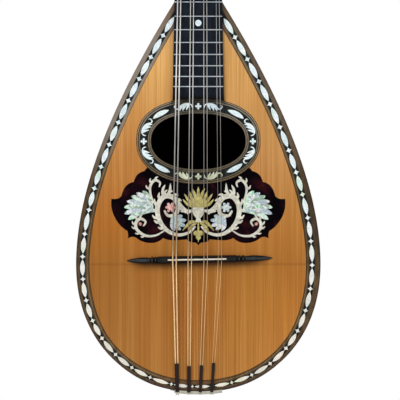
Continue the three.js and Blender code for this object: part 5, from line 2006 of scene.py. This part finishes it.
def end_clasp():
    first = REST_DEPTH - REST_ABOVE_BOARD + GAP - RIM_BACK

    def depths(x):
        share = abs(x) / CLASP_HALF
        scallop = abs(math.sin(share * CLASP_SCALLOPS * math.pi / 2))
        depth = CLASP_DEPTH * (1 - share * share) + CLASP_SCALLOP * (1 - scallop)
        return spread(first, first + max(depth, 2 * CLASP_THICKNESS), CLASP_ROWS)

    def swell(x):
        return CLASP_EDGE_SHARE + (1 - CLASP_EDGE_SHARE) * min(1, (CLASP_HALF - abs(x)) / CLASP_FADE)

    xs = spread(-CLASP_HALF, CLASP_HALF, CLASP_STEPS)
    clasp = tail_patch(xs, depths, -GAP - CLASP_THICKNESS, GAP / 2 - GAP, swell)
    piece("tail_clasp", [clasp], "veneer", ["end_clasp"])


TAILPIECE_HALF = TAIL_SPAN / 2 + TAILPIECE_MARGIN
TAILPIECE_BACK = 2 * GAP + CLASP_THICKNESS
# A hook's bend: ways forward from its stem and past the height where it starts, then its radii
HOOK_BEND = ((0, -0.4), (0.3, 0), (0.9, 0.4), (1.7, 0.4))
HOOK_STEM_STEPS = 3
HOOK_RADII = (1.25, 1.2, 1.15, 1.1, 0.95, 0.6, 0.45)
# Screw heads, as rows of radius and height
TAILPIECE_SCREW = ((2.1, 0.4), (2.1, -0.2), (1.4, -0.6), (0.1, -0.7))
GEAR_SCREW = ((2.2, -0.2), (2.2, 0.6), (1.54, 1.104), (0.2, 1.2))
PLATE_SCREW = ((2, -0.2), (2, 0.25), (1.4, 0.75), (0.1, 0.9))


def tailpiece():
    left, right = TAIL_SHIFT - TAILPIECE_HALF, TAIL_SHIFT + TAILPIECE_HALF
    corner = TAILPIECE_CORNER

    def depths(x):
        near = min(abs(x - left), abs(x - right))
        cut = corner - math.sqrt(max(0, corner ** 2 - max(0, corner - near) ** 2))
        return spread(TAILPIECE_TOP + cut, TAILPIECE_TOP + TAILPIECE_DEPTH - cut, TAILPIECE_ROWS)

    turns = spread(0, math.pi / 2, TAILPIECE_CORNER_STEPS)
    ends = [left + corner * (1 - math.cos(a)) for a in turns]
    xs = ends + spread(left + corner, right - corner, TAILPIECE_STEPS)[1:-1]
    xs += [2 * TAIL_SHIFT - x for x in reversed(ends)]
    sheet = tail_patch(xs, depths, -TAILPIECE_BACK - TAILPIECE_THICKNESS, -TAILPIECE_BACK)
    screws = []
    for x in (left + TAILPIECE_SCREW_INSET, right - TAILPIECE_SCREW_INSET):
        foot = TAILPIECE_TOP + TAILPIECE_DEPTH - TAILPIECE_SCREW_RISE
        for depth in (TAILPIECE_TOP + TAILPIECE_SCREW_INSET, foot):
            at = tail_point(x, depth) - Vector((0, 0, TAILPIECE_BACK + TAILPIECE_THICKNESS))
            screws.append(turned(TAILPIECE_SCREW, SCREW_SIDES, at, "Z"))
    piece("nickel_tailpiece", [sheet], "nickel", ["tailpiece"])
    hooks = [tailpiece_hook(plan["tail_x"]) for plan in PLANS]
    piece("tailpiece_hooks", hooks, "nickel")
    piece("tailpiece_screws", screws, "steel")


def tailpiece_hook(x):
    y = TAIL_RIM + RIM_BACK + HOOK_DEPTH
    root = tail_point(x, HOOK_DEPTH).z - TAILPIECE_BACK - TAILPIECE_THICKNESS / 2
    tip = TAIL_Z - TAILPIECE_BACK - TAILPIECE_THICKNESS - HOOK_HEIGHT
    bend = [Vector((x, y - forward, tip - past)) for forward, past in HOOK_BEND]
    stem = [Vector((x, y, z)) for z in spread(root, bend[0].z, HOOK_STEM_STEPS)]
    return tube(stem + bend[1:], HOOK_RADII, HOOK_SIDES)


# The end button: rows of radius and height, from its peg in the bowl out to its face
END_BUTTON = (
    (0.3, 18), (2.6, 18), (2.6, 0.2), (4.6, 0.1), (4.4, -0.8), (3.4, -2.28), (4.4, -3.5),
    (7.4, -3.8), (END_BUTTON_RADIUS, -4.5), (END_BUTTON_RADIUS, -6.5), (7, -7.6), (5.9, -8),
    (2.2, -8), (0.3, -8),
)


def end_button():
    below = TAILPIECE_TOP + TAILPIECE_DEPTH + END_BUTTON_RADIUS + END_BUTTON_BELOW_PLATE
    button = turned(END_BUTTON, END_BUTTON_SIDES, tail_point(0, below), "Z")
    piece("ebony_end_button", [button], "turned_ebony", ["end_button"])


# Tuning machines


def gear_outline():
    outline = []
    for tooth in range(GEAR_TEETH):
        middle = tooth * TURN / GEAR_TEETH
        tip = TOOTH_TIP_SHARE * WORM_LEAD / 2 / GEAR_TIP
        root = TOOTH_ROOT_SHARE * WORM_LEAD / 2 / GEAR_ROOT
        for radius, angle in (
            (GEAR_ROOT, middle - root),
            (GEAR_TIP, middle - tip),
            (GEAR_TIP, middle + tip),
            (GEAR_ROOT, middle + root),
        ):
            outline.append((radius * math.sin(angle), radius * math.cos(angle)))
    return outline


def worm(side):
    """The thread, which lies half a lead either side of the gear tooth that it meets."""
    turns = 2 * WORM_HALF / WORM_LEAD
    inner = WORM_ROOT - GAP
    rings = []
    for t in spread(-turns / 2, turns / 2, round(turns * THREAD_STEPS)):
        angle = t * TURN + TURN / 2
        ring = []
        for share, radius in (
            (1 - THREAD_ROOT_SHARE, inner),
            (1 - THREAD_CREST_SHARE, WORM_TIP),
            (1 + THREAD_CREST_SHARE, WORM_TIP),
            (1 + THREAD_ROOT_SHARE, inner),
        ):
            x = side * (t * WORM_LEAD + WORM_LEAD * share / 2)
            ring.append(Vector((x, radius * math.sin(angle), radius * math.cos(angle))))
        rings.append(ring)
    return loft(rings)


# A button's ends, as a share of its width, then powers for its oval outline and its soft corners,
# and how fast it comes to its full thickness
BUTTON_END_SHARE = 0.02
BUTTON_FULLNESS = 0.75
BUTTON_CORNER_POWER = 0.8
BUTTON_THICKENING = 1.35


def key_button(side):
    """A flat oval button with a soft edge."""
    rings = []
    for t in spread(0, math.pi, BUTTON_STEPS):
        swell = max(BUTTON_END_SHARE, math.sin(t)) ** BUTTON_FULLNESS
        x = side * (BUTTON_FROM_POST + BUTTON_LENGTH / 2 * (1 - math.cos(t)))
        ring = []
        thick = BUTTON_THICKNESS / 2 * min(1, swell * BUTTON_THICKENING)
        for a in angles(BUTTON_SIDES):
            z = signed_power(math.cos(a), BUTTON_CORNER_POWER) * BUTTON_WIDTH / 2 * swell
            y = signed_power(math.sin(a), BUTTON_CORNER_POWER) * thick
            ring.append(Vector((x, y, z)))
        rings.append(ring)
    return loft(rings)


# A post above the head's face: rows of radius and height, from its top down
POST_TOP = (
    (POST_CORE, -13), (2.1, -13), (2.75, -12.7), (POST_RADIUS, -12.1), (POST_RADIUS, -8),
    (2.65, -6.9), (2.65, -1.8), (POST_RADIUS, -1.2),
)


def string_post(number, x, z):
    """A post with its gear, and the screw that holds the gear on."""
    place = HEAD_FRAME @ Matrix.Translation((x, 0, z))
    front, back = GEAR_MIDDLE - GEAR_THICKNESS / 2, GEAR_MIDDLE + GEAR_THICKNESS / 2
    stem = [*POST_TOP, (POST_RADIUS, GEAR_MIDDLE), (POST_CORE, GEAR_MIDDLE)]
    parts = {
        "stem": ("nickel", turned(stem, POST_SIDES)),
        "gear": ("brass", plate([gear_outline()], front, back)),
        "screw": ("steel", turned([(radius, back + y) for radius, y in GEAR_SCREW], SCREW_SIDES)),
    }
    for part, (look, island) in parts.items():
        made = [moved(island, place)]
        piece(f"post_{number}_{part}", made, look, [f"string_post_{number}"], f"post_{number}")


def tuning_key(number, side, x, z):
    """A shaft with its collars and worm, and the button on its end."""
    place = HEAD_FRAME @ Matrix.Translation((x, GEAR_MIDDLE, z + WORM_OFFSET))
    end = COLLAR_END + GAP + EAR_THICKNESS + SHAFT_PAST_EAR
    worm_end = COLLAR_END - COLLAR_LENGTH
    rows = [(SHAFT_RADIUS - SHAFT_BEVEL, -end), (SHAFT_RADIUS, SHAFT_BEVEL - end)]
    rows += [(SHAFT_RADIUS, -COLLAR_END), (COLLAR_RADIUS, -COLLAR_END), (COLLAR_RADIUS, -worm_end)]
    rows += [(WORM_ROOT, -worm_end), (WORM_ROOT, worm_end), (COLLAR_RADIUS, worm_end)]
    rows += [(COLLAR_RADIUS, COLLAR_END), (SHAFT_RADIUS, COLLAR_END)]
    rows.append((SHAFT_RADIUS, BUTTON_FROM_POST + BUTTON_LENGTH * SHAFT_IN_BUTTON_SHARE))
    shaft = turned([(radius, side * along) for radius, along in rows], SCREW_SIDES, axis="X")
    body = f"key_{number}"
    node = f"tuning_key_{number}"
    steel = [moved(shaft, place), moved(worm(side), place)]
    piece(f"key_{number}_worm", steel, "steel", [node], body)
    piece(f"key_{number}_button", [moved(key_button(side), place)], "bone", [node], body)


def plate_screws():
    low = FIRST_POST - PLATE_OVERHANG + PLATE_SCREW_FROM_FOOT
    last = FIRST_POST + (COURSES - 1) * POST_SPACING
    rows = [low, last + PLATE_OVERHANG + WORM_OFFSET - PLATE_SCREW_FROM_TOP]
    for row in range(COURSES - 1):
        rows.append(FIRST_POST + (row + 1 / 2) * POST_SPACING - PLATE_SCREW_SHIFT)
    profile = [(radius, PLATE_BACK + y) for radius, y in PLATE_SCREW]
    screws = []
    for x in (-POST_SPREAD / 2, POST_SPREAD / 2):
        for z in rows:
            screws.append(moved(turned(profile, PLATE_SCREW_SIDES, (x, 0, z)), HEAD_FRAME))
    piece("machine_screws", screws, "steel")


def machines():
    for number, plan in enumerate(PLANS, 1):
        side, x, z = plan["post"]
        string_post(number, x, z)
        tuning_key(number, side, x, z)
    plate_screws()


KEPT_NODES = {
    "rim_lining": "block",
    "neck_block": "inner",
    "tail_block": "inner",
    "soundboard_brace_1": "inner",
    "soundboard_brace_2": "inner",
    "soundboard_brace_3": "inner",
    "nut": "bone",
    "machine_plate_left": "brass",
    "machine_plate_right": "brass",
}


def kept_nodes():
    for name, look in KEPT_NODES.items():
        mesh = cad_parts[name].data
        mesh.materials.clear()
        mesh.materials.append(MATERIALS[look])


camera()
studio()
floor()
kept_nodes()
soundboard()
border()
rosette()
pickguard()
ribs()
neck()
fingerboard()
bridge()
saddle()
strings()
sleeves()
string_rest()
end_clasp()
tailpiece()
end_button()
machines()
